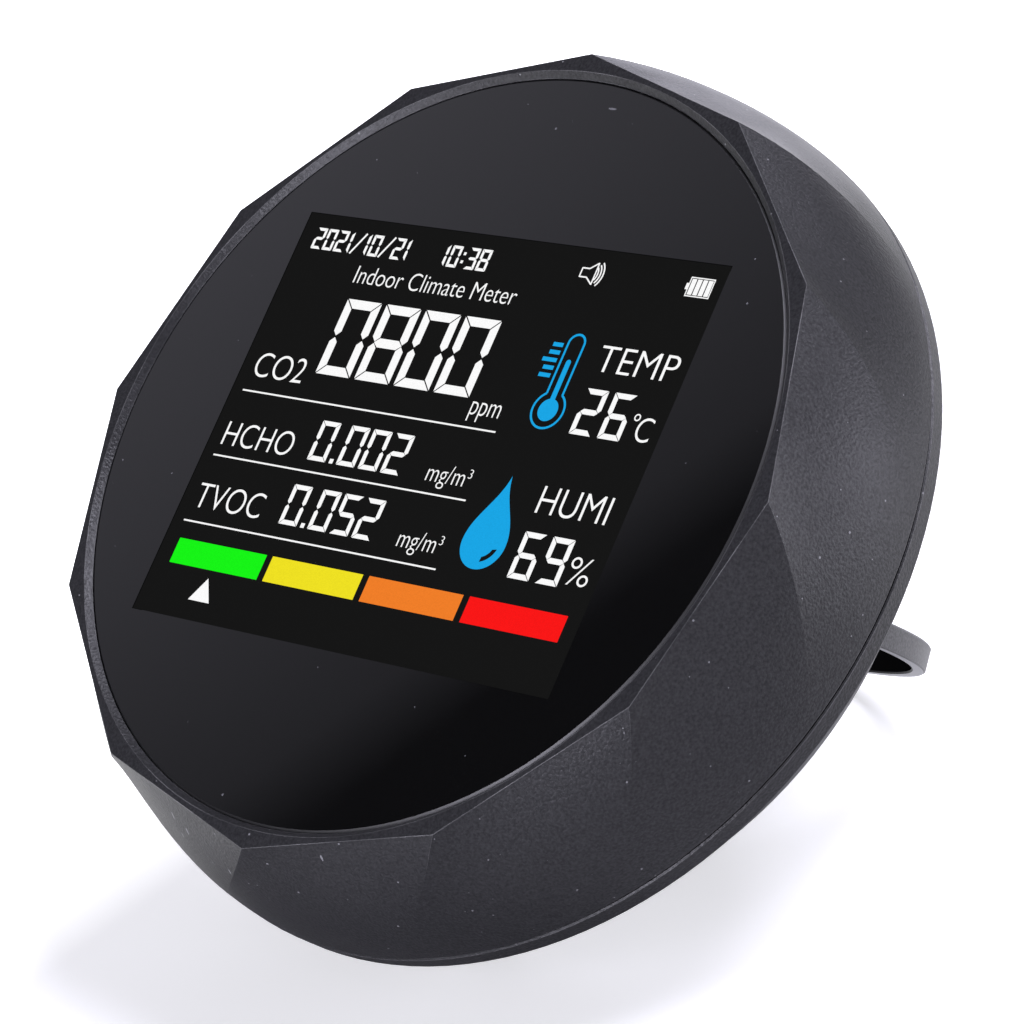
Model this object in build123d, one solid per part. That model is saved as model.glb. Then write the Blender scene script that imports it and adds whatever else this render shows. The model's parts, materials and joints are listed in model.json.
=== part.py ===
from build123d import *
import math
import os

# Desk carbon dioxide monitor: a faceted round housing with a glass front, a round
# rear cover and a half-round hoop stand hinged on the back.
#
# All pieces are drawn in the face frame: X to the right of the display, Y up the
# display, Z out of the glass, with the origin at the centre of the front rim plane.
# The whole assembly is then leaned back on its stand. In the finished frame +Z is up,
# the display looks towards -Y and the desk is the plane Z = 0.
#
# "front" and "back" in the helpers are Z heights in the face frame, so back < front.

# ---------------------------------------------------------------- driving dimensions
FACETS = 12                     # flat facets round the front rim
RIM_VERTEX_RADIUS = 50.0        # corners of the front rim
SEAM_RADIUS = 54.15             # round parting line, the widest place
SEAM_DEPTH = 19.5               # front rim plane to the parting line
FACET_TWIST = 19.5              # degrees that the facet edges swirl clockwise by the seam
WALL = 2.2                      # housing wall
SEAM_GROOVE = 0.3               # chamfer on each side of the parting line

OPENING_RADIUS = 47.0           # opening for the glass
OPENING_CHAMFER = 0.7
GLASS_RADIUS = 46.9
GLASS_RECESS = 0.6
GLASS_THICKNESS = 0.8
TAPE_THICKNESS = 0.15
LEDGE_INNER_RADIUS = 43.9
LEDGE_THICKNESS = 1.6

DISPLAY_WIDTH = 66.4
DISPLAY_HEIGHT = 54.2
CELL_THICKNESS = 1.0            # liquid crystal glass
BACKLIGHT_THICKNESS = 1.2
CARRIER_WIDTH = 72.0
CARRIER_HEIGHT = 58.0
CARRIER_PLATE = 1.6

BAND_BACK_DEPTH = 22.4          # end of the short cylindrical band of the rear cover
BAND_BACK_RADIUS = 53.9
BACK_DEPTH = 33.0               # flat back of the rear cover
BACK_RADIUS = 45.2
BACK_WALL = 2.0

BOARD_FRONT_DEPTH = 19.0
BOARD_THICKNESS = 1.6
BOARD_WIDTH = 76.0
BOARD_HEIGHT = 58.0

BATTERY_WIDTH = 50.0
BATTERY_HEIGHT = 34.0
BATTERY_THICKNESS = 6.0
BATTERY_X = -4.0
BATTERY_Y = 4.0
FOAM_THICKNESS = 0.8

HINGE_Y = -0.9                  # stand hinge axis, parallel to X, across the back
HINGE_DEPTH = 31.5
STAND_RADIUS = 42.6             # outer radius of the half-round hoop
STAND_BAR = 1.65                # bar thickness along the radius
STAND_WIDTH = 3.0               # bar width across the plane of the hoop
STAND_OPEN_ANGLE = 102.5        # swing from folded flat to the open stop
STAND_POCKET_GAP = 0.35         # room round the folded hoop
STAND_STOP_GAP = 0.05
PIN_RADIUS = 0.75
PIN_INNER_X = 38.5
PIN_OUTER_X = 44.4
RUNNING_GAP = 0.08              # radial gap of every sliding or turning fit

PAD_THICKNESS = 0.9             # rubber sleeve on the tip of the hoop
PAD_HALF_ANGLE = 12.0
PAD_LIFT = 0.45                 # the hoop's own lower edge stays this far off the desk
FOOT_RADIUS = 2.4
FOOT_ANGLE = 14.0               # each foot sits this far round from the bottom
FOOT_SPOT_RADIUS = 46.5         # where the foot's axis meets the sloping wall
FOOT_CLEARANCE = 0.3            # gap that the feet leave under the rear edge
FOOT_SOCKET_DEPTH = 1.2

BUTTON_RADIUS = 3.6
BUTTON_Y = 23.0
BUTTON_X = {"power": -20.0, "up": -7.0, "down": 6.0}
BUTTON_TRAVEL = 0.3
BUTTON_PROUD = 0.5
USB_X = 22.0
USB_WIDTH = 8.94
USB_HEIGHT = 3.16

VENT_CENTRE_Y = -10.0
VENT_RADIUS = 21.0
VENT_ROWS = 9
VENT_PITCH = 4.4
VENT_SLOT = 1.8

COVER_SCREW_SPOT = (12.0, 34.5)
CARRIER_SCREW_SPOT = (38.6, 14.0)
BOARD_SCREW_SPOT = (34.0, 25.0)
PILOT_RADIUS = 0.9              # bored hole and thread core of the small screws

# ---------------------------------------------------------------- worked-out sizes
SEAM_Z = -SEAM_DEPTH
BACK_Z = -BACK_DEPTH
BACK_INSIDE_Z = BACK_Z + BACK_WALL
GLASS_BACK_Z = -(GLASS_RECESS + GLASS_THICKNESS)
LEDGE_FRONT_Z = GLASS_BACK_Z - TAPE_THICKNESS
LEDGE_BACK_Z = LEDGE_FRONT_Z - LEDGE_THICKNESS
CELL_BACK_Z = LEDGE_FRONT_Z - CELL_THICKNESS
DISPLAY_BACK_Z = CELL_BACK_Z - BACKLIGHT_THICKNESS
CARRIER_BACK_Z = DISPLAY_BACK_Z - CARRIER_PLATE
BATTERY_FRONT_Z = CARRIER_BACK_Z - FOAM_THICKNESS
BATTERY_BACK_Z = BATTERY_FRONT_Z - BATTERY_THICKNESS
BOARD_FRONT_Z = -BOARD_FRONT_DEPTH
BOARD_BACK_Z = BOARD_FRONT_Z - BOARD_THICKNESS
HINGE_Z = -HINGE_DEPTH
RIM_FLAT_RADIUS = RIM_VERTEX_RADIUS * math.cos(math.pi / FACETS)

# The open hoop leaves the back at this angle above the back's own normal.
STAND_RISE = math.radians(STAND_OPEN_ANGLE - 90)


def leg_point(reach, across):
    """(y, z) of a point on the open hoop's middle section: reach from the hinge, across upwards."""
    y = HINGE_Y + reach * math.sin(STAND_RISE) + across * math.cos(STAND_RISE)
    z = HINGE_Z - reach * math.cos(STAND_RISE) + across * math.sin(STAND_RISE)
    return y, z


# The desk plane runs just under the rear edge of the cover and just under the hoop's tip.
TIP_Y, TIP_Z = leg_point(STAND_RADIUS, -STAND_WIDTH / 2)
SPAN_Y = TIP_Y + BACK_RADIUS
SPAN_Z = BACK_Z - TIP_Z
LEAN_BACK = math.atan2(SPAN_Y, SPAN_Z) - math.asin((PAD_LIFT - FOOT_CLEARANCE) / math.hypot(SPAN_Y, SPAN_Z))
UP_Y = math.cos(LEAN_BACK)      # the desk's upward direction in the face frame
UP_Z = math.sin(LEAN_BACK)
DESK_HEIGHT = -BACK_RADIUS * UP_Y + BACK_Z * UP_Z - FOOT_CLEARANCE
FRONT_EDGE = -RIM_VERTEX_RADIUS * UP_Z
REAR_EDGE = BAND_BACK_RADIUS * UP_Z + BAND_BACK_DEPTH * UP_Y
MIDDLE_OF_DEPTH = (FRONT_EDGE + REAR_EDGE) / 2
TO_DESK = Pos(0, -MIDDLE_OF_DEPTH, -DESK_HEIGHT) * Rot(X=90 - math.degrees(LEAN_BACK))


# ---------------------------------------------------------------- small helpers
def disc(radius, front, back, x=0.0, y=0.0):
    """Round solid between two heights of the face frame."""
    return Pos(x, y, (front + back) / 2) * Cylinder(radius, front - back)


def ring(outer, inner, front, back, x=0.0, y=0.0):
    """Round tube between two heights."""
    return disc(outer, front, back, x, y) - disc(inner, front, back, x, y)


def block(width, height, front, back, x=0.0, y=0.0, corner=0.0):
    """Rectangular solid between two heights, with rounded upright corners."""
    outline = RectangleRounded(width, height, corner) if corner else Rectangle(width, height)
    return Pos(x, y, back) * extrude(outline, front - back)


def slot_bar(length, width, front, back, x=0.0, y=0.0):
    """Bar with round ends, lying along X."""
    return Pos(x, y, back) * extrude(SlotOverall(length, width), front - back)


def turned(outline):
    """Solid of revolution about the face axis from (radius, z) points."""
    profile = make_face(Polyline(*[(radius, 0, z) for radius, z in outline], close=True))
    return revolve(profile, Axis.Z)


def four_places(spot):
    """The four places (+-x, +-y) of a spot."""
    return [(sx * spot[0], sy * spot[1]) for sx in (-1, 1) for sy in (-1, 1)]


def grouped(solids):
    """Keep identical pieces as separate solids in one node."""
    return Compound(children=list(solids))


def cross_recess(radius, depth, top, x, y):
    """Cutter for the cross in a screw head whose flat top is at a height and faces back."""
    arm = 2 * radius
    blade = radius * 0.4
    return block(arm, blade, top + depth, top, x, y) + block(blade, arm, top + depth, top, x, y)


def screw(x, y, seat, head_radius, head_height, length):
    """Pan-head screw driven from the back: the head's underside rests at the seat height."""
    head = disc(head_radius, seat, seat - head_height, x, y)
    rim = head.edges().filter_by(GeomType.CIRCLE).sort_by(Axis.Z)[0]
    head = chamfer(rim, head_height * 0.35)
    shank = disc(PILOT_RADIUS, seat + length, seat, x, y)
    return head + shank - cross_recess(head_radius * 0.6, head_height * 0.6, seat - head_height, x, y)


# ---------------------------------------------------------------- front housing
TOWER_RADIUS = 3.0
TOWER_END_Z = -20.0
TOWER_PILOT_LENGTH = 9.0
CARRIER_BOSS_RADIUS = 2.4
CARRIER_PILOT_LENGTH = 1.8
SECTION_DEPTHS = [0.0, 4.0, 8.0, 12.0, 16.0, SEAM_DEPTH]


def bulge(depth):
    """0 at the front rim, 1 at the seam, steep at first and level at the seam."""
    return 1 - (1 - depth / SEAM_DEPTH) ** 2


def side_radius(front_radius, depth):
    """Radius of the side wall at a depth, for a line that starts at front_radius."""
    return front_radius + (SEAM_RADIUS - front_radius) * bulge(depth)


def facet_section(depth):
    """Outline of the side wall at a depth: bowed edges between twisted corners."""
    twist = -FACET_TWIST * depth / SEAM_DEPTH

    def at(front_radius, step):
        angle = math.radians(90 + twist + step * 360 / FACETS)
        radius = side_radius(front_radius, depth)
        return (radius * math.cos(angle), radius * math.sin(angle), -depth)

    edges = []
    for index in range(FACETS):
        start = at(RIM_VERTEX_RADIUS, index)
        end = at(RIM_VERTEX_RADIUS, index + 1)
        if depth == 0:
            edges.append(Line(start, end))
        else:
            edges.append(ThreePointArc(start, at(RIM_FLAT_RADIUS, index + 0.5), end))
    return make_face(edges)


def housing_hollow():
    """Bowl-shaped hollow behind the ledge, which follows the side wall."""
    mouth = (SEAM_RADIUS - WALL, 0, SEAM_Z)
    shoulder = (RIM_FLAT_RADIUS - 0.5, 0, LEDGE_BACK_Z)
    middle_z = (LEDGE_BACK_Z + SEAM_Z) / 2
    middle = (side_radius(RIM_FLAT_RADIUS, -middle_z) - WALL, 0, middle_z)
    wall = ThreePointArc(shoulder, middle, mouth)
    rest = Polyline(mouth, (0, 0, SEAM_Z), (0, 0, LEDGE_BACK_Z), shoulder)
    return revolve(make_face([wall, rest]), Axis.Z)


def front_housing():
    shell = loft([facet_section(depth) for depth in SECTION_DEPTHS])
    shell -= housing_hollow()
    shell -= disc(OPENING_RADIUS, 1, LEDGE_FRONT_Z)
    shell -= disc(LEDGE_INNER_RADIUS, 1, LEDGE_BACK_Z - 1)
    shell -= turned([
        (0, 0),
        (OPENING_RADIUS + OPENING_CHAMFER, 0),
        (OPENING_RADIUS, -OPENING_CHAMFER),
        (0, -OPENING_CHAMFER),
    ])
    shell -= turned([
        (SEAM_RADIUS - SEAM_GROOVE, SEAM_Z),
        (SEAM_RADIUS + SEAM_GROOVE, SEAM_Z),
        (SEAM_RADIUS + SEAM_GROOVE, SEAM_Z + 2 * SEAM_GROOVE),
    ])
    for x, y in four_places(COVER_SCREW_SPOT):
        web_y = math.copysign(39.5, y)
        shell += disc(TOWER_RADIUS, LEDGE_FRONT_Z, TOWER_END_Z, x, y)
        shell += block(2 * TOWER_RADIUS, 10.0, LEDGE_FRONT_Z, LEDGE_BACK_Z, x, web_y)
        shell -= disc(PILOT_RADIUS, TOWER_END_Z + TOWER_PILOT_LENGTH, TOWER_END_Z, x, y)
    for x, y in four_places(CARRIER_SCREW_SPOT):
        web_x = math.copysign(41.5, x)
        shell += disc(CARRIER_BOSS_RADIUS, LEDGE_FRONT_Z, DISPLAY_BACK_Z, x, y)
        shell += block(6.0, 2 * CARRIER_BOSS_RADIUS, LEDGE_FRONT_Z, LEDGE_BACK_Z, web_x, y)
        shell -= disc(PILOT_RADIUS, DISPLAY_BACK_Z + CARRIER_PILOT_LENGTH, DISPLAY_BACK_Z, x, y)
    return shell


# ---------------------------------------------------------------- glass and display
def lens_panel():
    glass = disc(GLASS_RADIUS, -GLASS_RECESS, GLASS_BACK_Z)
    front_edge = glass.edges().filter_by(GeomType.CIRCLE).sort_by(Axis.Z)[-1]
    return chamfer(front_edge, 0.25)


def lens_adhesive_ring():
    return ring(GLASS_RADIUS - 0.2, LEDGE_INNER_RADIUS + 0.3, GLASS_BACK_Z, LEDGE_FRONT_Z)


SHELF_HEIGHT = 3.0              # strip of the cell that carries the flat cable
SHELF_Z = CELL_BACK_Z + CELL_THICKNESS / 2


def display_cell():
    cell = block(DISPLAY_WIDTH, DISPLAY_HEIGHT, LEDGE_FRONT_Z, CELL_BACK_Z, corner=0.6)
    shelf_y = (SHELF_HEIGHT - DISPLAY_HEIGHT) / 2
    return cell - block(DISPLAY_WIDTH, SHELF_HEIGHT, SHELF_Z, CELL_BACK_Z, y=shelf_y)


def display_backlight():
    return block(DISPLAY_WIDTH - 0.8, DISPLAY_HEIGHT - 0.8, CELL_BACK_Z, DISPLAY_BACK_Z, corner=0.8)


BOARD_POST_RADIUS = 2.6
FLEX_WIDTH = 16.0
FLEX_THICKNESS = 0.2
FLEX_OUTER_Y = -28.0            # the flat cable runs rearward here, below the carrier's notch
FLEX_SOCKET_Y = -22.0
FLEX_SOCKET_HEIGHT = 5.0
FLEX_SOCKET_TALL = 2.0
FLEX_SOCKET_Z = BOARD_FRONT_Z + FLEX_SOCKET_TALL / 2


def display_carrier():
    """Inner frame that backs the display and holds the main board on four posts."""
    plate = block(CARRIER_WIDTH, CARRIER_HEIGHT, DISPLAY_BACK_Z, CARRIER_BACK_Z, corner=3.0)
    for x, y in four_places(CARRIER_SCREW_SPOT):
        plate += block(7.4, 6.4, DISPLAY_BACK_Z, CARRIER_BACK_Z, math.copysign(37.7, x), y, corner=2.0)
        plate -= disc(PILOT_RADIUS + 0.2, DISPLAY_BACK_Z, CARRIER_BACK_Z, x, y)
    for x, y in four_places(BOARD_SCREW_SPOT):
        plate += disc(BOARD_POST_RADIUS, CARRIER_BACK_Z, BOARD_FRONT_Z, x, y)
        plate -= disc(PILOT_RADIUS, BOARD_FRONT_Z + 7, BOARD_FRONT_Z, x, y)
    notch_height = 3.4
    notch_y = (notch_height - CARRIER_HEIGHT) / 2
    plate -= block(FLEX_WIDTH + 4, notch_height, DISPLAY_BACK_Z, CARRIER_BACK_Z, y=notch_y)
    fence_end_z = CARRIER_BACK_Z - 2.5
    fence_size = (BATTERY_WIDTH + 3.4, BATTERY_HEIGHT + 3.4)
    hollow_size = (BATTERY_WIDTH + 0.6, BATTERY_HEIGHT + 0.6)
    fence = block(*fence_size, CARRIER_BACK_Z, fence_end_z, BATTERY_X, BATTERY_Y, corner=2.0)
    fence -= block(*hollow_size, CARRIER_BACK_Z, fence_end_z, BATTERY_X, BATTERY_Y)
    return plate + fence


def display_flex():
    """Flat cable from the cell's shelf, round the carrier, into the board's socket."""
    bonded_z = SHELF_Z - FLEX_THICKNESS / 2
    path = FilletPolyline(
        (-DISPLAY_HEIGHT / 2 + 2.4, bonded_z),
        (FLEX_OUTER_Y, bonded_z),
        (FLEX_OUTER_Y, FLEX_SOCKET_Z),
        (FLEX_SOCKET_Y, FLEX_SOCKET_Z),
        radius=0.7,
    )
    strip = Plane.YZ * trace(path, FLEX_THICKNESS)
    return extrude(strip, FLEX_WIDTH / 2, both=True)


def flex_socket():
    body = block(FLEX_WIDTH + 4, FLEX_SOCKET_HEIGHT, FLEX_SOCKET_Z + 1, BOARD_FRONT_Z, y=FLEX_SOCKET_Y)
    mouth_z = FLEX_SOCKET_Z + FLEX_THICKNESS
    mouth_height = FLEX_SOCKET_HEIGHT / 2 + 0.3
    mouth_y = FLEX_SOCKET_Y - FLEX_SOCKET_HEIGHT / 2 + mouth_height / 2
    return body - block(FLEX_WIDTH + 0.4, mouth_height, mouth_z, mouth_z - 2 * FLEX_THICKNESS, y=mouth_y)


def carrier_screws():
    return grouped(screw(x, y, CARRIER_BACK_Z, 1.8, 1.2, 3.2) for x, y in four_places(CARRIER_SCREW_SPOT))


# ---------------------------------------------------------------- battery
PLUG_WIDTH = 5.0
PLUG_HEIGHT = 6.0
PLUG_X = 27.0
POWER_SOCKET_X = 30.0
PLUG_FRONT_Z = BOARD_FRONT_Z + 3.9
PLUG_BACK_Z = BOARD_FRONT_Z + 0.9
LEAD_RADIUS = 0.5
LEAD_SPACING = 2.4


def battery_foam():
    return block(BATTERY_WIDTH - 6, BATTERY_HEIGHT - 6, CARRIER_BACK_Z, BATTERY_FRONT_Z, BATTERY_X, BATTERY_Y)


def battery_cell():
    pouch = block(BATTERY_WIDTH, BATTERY_HEIGHT, BATTERY_FRONT_Z, BATTERY_BACK_Z, BATTERY_X, BATTERY_Y, corner=1.5)
    broad_edges = pouch.faces().sort_by(Axis.Z)[0].edges() + pouch.faces().sort_by(Axis.Z)[-1].edges()
    return fillet(broad_edges, 0.8)


def battery_leads():
    """Two insulated wires in an S curve from the cell's edge to the plug."""
    start_x = BATTERY_X + BATTERY_WIDTH / 2
    start_z = (BATTERY_FRONT_Z + BATTERY_BACK_Z) / 2
    end_x = PLUG_X - PLUG_WIDTH / 2
    end_z = (PLUG_FRONT_Z + PLUG_BACK_Z) / 2
    wires = []
    for side in (-1, 1):
        y = BATTERY_Y + side * LEAD_SPACING / 2
        path = Spline((start_x, y, start_z), (end_x, y, end_z), tangents=[(1, 0, 0), (1, 0, 0)])
        wires.append(sweep(Plane((start_x, y, start_z), z_dir=(1, 0, 0)) * Circle(LEAD_RADIUS), path))
    return grouped(wires)


def battery_plug():
    return block(PLUG_WIDTH, PLUG_HEIGHT, PLUG_FRONT_Z, PLUG_BACK_Z, PLUG_X, BATTERY_Y)


def battery_socket():
    """Open-sided header that the plug slides into from the battery's side."""
    body = block(7.0, PLUG_HEIGHT + 2, BOARD_FRONT_Z + 4.8, BOARD_FRONT_Z, POWER_SOCKET_X, BATTERY_Y)
    return body - block(PLUG_WIDTH, PLUG_HEIGHT, PLUG_FRONT_Z, PLUG_BACK_Z, PLUG_X, BATTERY_Y)


# ---------------------------------------------------------------- main board
def main_board():
    board = block(BOARD_WIDTH, BOARD_HEIGHT, BOARD_FRONT_Z, BOARD_BACK_Z, corner=4.0)
    for x, y in four_places(BOARD_SCREW_SPOT):
        board -= disc(PILOT_RADIUS + 0.2, BOARD_FRONT_Z, BOARD_BACK_Z, x, y)
    return board


def board_screws():
    return grouped(screw(x, y, BOARD_BACK_Z, 2.0, 1.4, 6.0) for x, y in four_places(BOARD_SCREW_SPOT))


def on_board(width, height, tall, x, y):
    """Square component standing on the rear side of the main board."""
    return block(width, height, BOARD_BACK_Z, BOARD_BACK_Z - tall, x, y)


def processor_chip():
    package = on_board(10, 10, 1.4, -10, 10)
    return package - disc(0.5, BOARD_BACK_Z - 1.2, BOARD_BACK_Z - 1.4, -6, 14)


def support_chips():
    spots = [(5, 6, 2, 11), (4, 4, -22, 6), (4, 5, -22, 13), (6, 5, 29, -2)]
    return grouped(on_board(width, height, 1.1, x, y) for width, height, x, y in spots)


def board_capacitors():
    spots = [(-32, 14), (-32, 7), (27, 11), (33, 11)]
    return grouped(disc(2.2, BOARD_BACK_Z, BOARD_BACK_Z - 5.4, x, y) for x, y in spots)


def buzzer():
    body = disc(6.0, BOARD_BACK_Z, BOARD_BACK_Z - 5.5, 15, 8)
    return body - disc(1.0, BOARD_BACK_Z - 3.5, BOARD_BACK_Z - 5.5, 15, 8)


# ---------------------------------------------------------------- sensors
CO2_X, CO2_Y = -15.0, -9.0
CO2_WIDTH, CO2_HEIGHT = 33.0, 20.0
CO2_BOARD_FRONT_Z = BOARD_BACK_Z - 1.2
CO2_BOARD_BACK_Z = CO2_BOARD_FRONT_Z - 1.0
CO2_CAN_BACK_Z = CO2_BOARD_BACK_Z - 5.2
CO2_PIN_PITCH = 2.54


def co2_sensor_board():
    return block(CO2_WIDTH, CO2_HEIGHT, CO2_BOARD_FRONT_Z, CO2_BOARD_BACK_Z, CO2_X, CO2_Y, corner=0.8)


def co2_sensor_can():
    """Gas cell of the infrared sensor, with a window for the membrane."""
    can = block(26.0, 15.0, CO2_BOARD_BACK_Z, CO2_CAN_BACK_Z, CO2_X, CO2_Y, corner=1.5)
    can = fillet(can.faces().sort_by(Axis.Z)[0].edges(), 1.0)
    return can - block(13.0, 7.0, CO2_CAN_BACK_Z + 0.6, CO2_CAN_BACK_Z, CO2_X + 4, CO2_Y)


def co2_sensor_membrane():
    return block(13.0, 7.0, CO2_CAN_BACK_Z + 0.6, CO2_CAN_BACK_Z + 0.1, CO2_X + 4, CO2_Y)


def co2_sensor_pins():
    pins = []
    for side in (-1, 1):
        for index in range(5):
            x = CO2_X + side * 15.0
            y = CO2_Y + (index - 2) * CO2_PIN_PITCH
            pins.append(block(0.64, 0.64, BOARD_BACK_Z, CO2_BOARD_FRONT_Z, x, y))
    return grouped(pins)


HCHO_X, HCHO_Y = 15.0, -12.0
HCHO_TALL = 7.0


def formaldehyde_sensor():
    """Electrochemical cell: a stepped round pot with a breathing hole."""
    top = BOARD_BACK_Z - HCHO_TALL
    pot = disc(8.6, BOARD_BACK_Z, top + 1.5, HCHO_X, HCHO_Y) + disc(7.8, top + 1.5, top, HCHO_X, HCHO_Y)
    return pot - disc(4.0, top + 0.6, top, HCHO_X, HCHO_Y)


def formaldehyde_membrane():
    top = BOARD_BACK_Z - HCHO_TALL
    return disc(4.0, top + 0.6, top + 0.1, HCHO_X, HCHO_Y)


TVOC_X, TVOC_Y = 30.0, -14.0
TVOC_TALL = 6.0


def tvoc_sensor():
    """Metal oxide gas sensor in a small flanged can with breathing holes."""
    top = BOARD_BACK_Z - TVOC_TALL
    can = disc(4.9, BOARD_BACK_Z, BOARD_BACK_Z - 0.8, TVOC_X, TVOC_Y)
    can += disc(4.3, BOARD_BACK_Z - 0.8, top, TVOC_X, TVOC_Y)
    can -= disc(0.6, top + 1.0, top, TVOC_X, TVOC_Y)
    for index in range(6):
        angle = index * math.pi / 3
        can -= disc(0.6, top + 1.0, top, TVOC_X + 2.3 * math.cos(angle), TVOC_Y + 2.3 * math.sin(angle))
    return can


CLIMATE_X, CLIMATE_Y = -15.0, -24.0
CLIMATE_TALL = 3.0


def temperature_humidity_sensor():
    """Small box with three breathing slots."""
    top = BOARD_BACK_Z - CLIMATE_TALL
    body = on_board(8, 6, CLIMATE_TALL, CLIMATE_X, CLIMATE_Y)
    for row in (-1, 0, 1):
        body -= block(5.6, 0.8, top + 0.8, top, CLIMATE_X, CLIMATE_Y + 1.7 * row)
    return body


# ---------------------------------------------------------------- buttons
SWITCH_SIZE = 6.0
SWITCH_BACK_Z = BOARD_BACK_Z - 3.4
PLUNGER_RADIUS = 1.7
PLUNGER_FRONT_Z = SWITCH_BACK_Z + 0.8
PLUNGER_BACK_Z = SWITCH_BACK_Z - 1.2
CAP_FLANGE_RADIUS = 4.6
CAP_FLANGE_BACK_Z = BACK_INSIDE_Z + 0.1
CAP_BACK_Z = BACK_Z - BUTTON_PROUD
SYMBOL_DEPTH = 0.2
SYMBOL_LINE = 0.45


def switch_bodies():
    """Three switches; each has a well for its plunger, deeper than the travel."""
    well_front_z = PLUNGER_FRONT_Z + BUTTON_TRAVEL + 0.2
    bodies = []
    for x in BUTTON_X.values():
        body = block(SWITCH_SIZE, SWITCH_SIZE, BOARD_BACK_Z, SWITCH_BACK_Z, x, BUTTON_Y, corner=0.4)
        bodies.append(body - disc(PLUNGER_RADIUS + RUNNING_GAP, well_front_z, SWITCH_BACK_Z, x, BUTTON_Y))
    return grouped(bodies)


def switch_plunger(name):
    return disc(PLUNGER_RADIUS, PLUNGER_FRONT_Z, PLUNGER_BACK_Z, BUTTON_X[name], BUTTON_Y)


def power_symbol():
    """Broken ring with an upright stroke."""
    broken_ring = ring(1.5, 1.5 - SYMBOL_LINE, SYMBOL_DEPTH, 0) - block(1.3, 2.0, SYMBOL_DEPTH, 0, y=1.4)
    return broken_ring + block(SYMBOL_LINE, 1.5, SYMBOL_DEPTH, 0, y=1.2)


def arrow_symbol(direction):
    """Solid triangle that points up (1) or down (-1) the display."""
    tip, foot = direction * 1.2, -direction * 0.9
    outline = Polyline((-1.3, foot), (1.3, foot), (0, tip), close=True)
    return extrude(make_face(outline), SYMBOL_DEPTH)


SYMBOLS = {"power": power_symbol, "up": lambda: arrow_symbol(1), "down": lambda: arrow_symbol(-1)}


def button_cap(name):
    """Cap with a retaining flange inside the cover and a stem down to the plunger."""
    x = BUTTON_X[name]
    head = disc(BUTTON_RADIUS, CAP_FLANGE_BACK_Z, CAP_BACK_Z, x, BUTTON_Y)
    rim = head.edges().filter_by(GeomType.CIRCLE).sort_by(Axis.Z)[0]
    head = fillet(rim, 0.35)
    head -= Pos(x, BUTTON_Y, CAP_BACK_Z) * SYMBOLS[name]()
    flange = disc(CAP_FLANGE_RADIUS, CAP_FLANGE_BACK_Z + 1.0, CAP_FLANGE_BACK_Z, x, BUTTON_Y)
    stem = disc(PLUNGER_RADIUS, PLUNGER_BACK_Z, CAP_FLANGE_BACK_Z + 1.0, x, BUTTON_Y)
    return head + flange + stem


# ---------------------------------------------------------------- charging port
USB_BACK_Z = BACK_Z + 1.1
USB_SHELL = 0.3


def usb_shell():
    """Upright receptacle from the board to the opening in the back."""
    tube = slot_bar(USB_WIDTH, USB_HEIGHT, BOARD_BACK_Z, USB_BACK_Z, USB_X, BUTTON_Y)
    inner_width = USB_WIDTH - 2 * USB_SHELL
    inner_height = USB_HEIGHT - 2 * USB_SHELL
    return tube - slot_bar(inner_width, inner_height, BOARD_BACK_Z - 1.0, USB_BACK_Z, USB_X, BUTTON_Y)


def usb_tongue():
    return block(6.7, 0.7, BOARD_BACK_Z - 1.0, USB_BACK_Z + 0.6, USB_X, BUTTON_Y)


# ---------------------------------------------------------------- rear cover
LIP_THICKNESS = 1.2
LIP_RADIUS = SEAM_RADIUS - WALL - 0.35
LIP_FRONT_Z = SEAM_Z + 1.8
BAND_WALL = 2.25
COVER_POST_RADIUS = 3.8
COVER_BORE_RADIUS = 1.2
COVER_HEAD_RADIUS = 2.2
COVER_HEAD_SEAT_Z = BACK_Z + 6.0
GROOVE_FLOOR_Z = HINGE_Z + STAND_WIDTH / 2 + 0.2
THICK_RING_RADIUS = 38.0        # from here outwards the back is thick enough for the hoop's groove
THICK_RING_Z = GROOVE_FLOOR_Z + 1.6
USB_RECESS = 1.0


def stand_groove():
    """Room for the folded hoop, its rubber tip and the swing of its two ends."""
    inner = STAND_RADIUS - STAND_BAR - STAND_POCKET_GAP
    outer = STAND_RADIUS + STAND_POCKET_GAP
    lower_half = block(3 * BACK_RADIUS, 2 * BACK_RADIUS, GROOVE_FLOOR_Z, BACK_Z, y=HINGE_Y - BACK_RADIUS)
    cutter = ring(outer, inner, GROOVE_FLOOR_Z, BACK_Z, y=HINGE_Y) & lower_half
    # The open leg's upper face meets this wall, which is the stop.
    hinge_height = BACK_DEPTH - HINGE_DEPTH
    stop = STAND_WIDTH / 2 / math.cos(STAND_RISE) + hinge_height * math.tan(STAND_RISE) + STAND_STOP_GAP
    for side in (-1, 1):
        middle_x = side * (inner + outer) / 2
        cutter += block(outer - inner, stop, GROOVE_FLOOR_Z, BACK_Z, middle_x, HINGE_Y + stop / 2)
    # Wider bay for the rubber tip, open at the bottom edge for a fingertip.
    bay_width = 2 * (STAND_RADIUS + PAD_THICKNESS) * math.sin(math.radians(PAD_HALF_ANGLE)) + 1.6
    bay_top_y = HINGE_Y - (STAND_RADIUS - STAND_BAR - PAD_THICKNESS) * math.cos(math.radians(PAD_HALF_ANGLE)) + 0.4
    bay_bottom_y = -BACK_RADIUS - 6
    bay_floor_z = HINGE_Z + STAND_WIDTH / 2 + PAD_THICKNESS + 0.3
    bay_height = bay_top_y - bay_bottom_y
    cutter += block(bay_width, bay_height, bay_floor_z, BACK_Z, y=(bay_top_y + bay_bottom_y) / 2)
    return cutter


def pin_rod(side, radius, start=PIN_INNER_X, end=PIN_OUTER_X):
    """Rod on the hinge axis, on the right (1) or left (-1) side."""
    middle = side * (start + end) / 2
    return Pos(middle, HINGE_Y, HINGE_Z) * Rot(Y=90) * Cylinder(radius, end - start)


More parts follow.
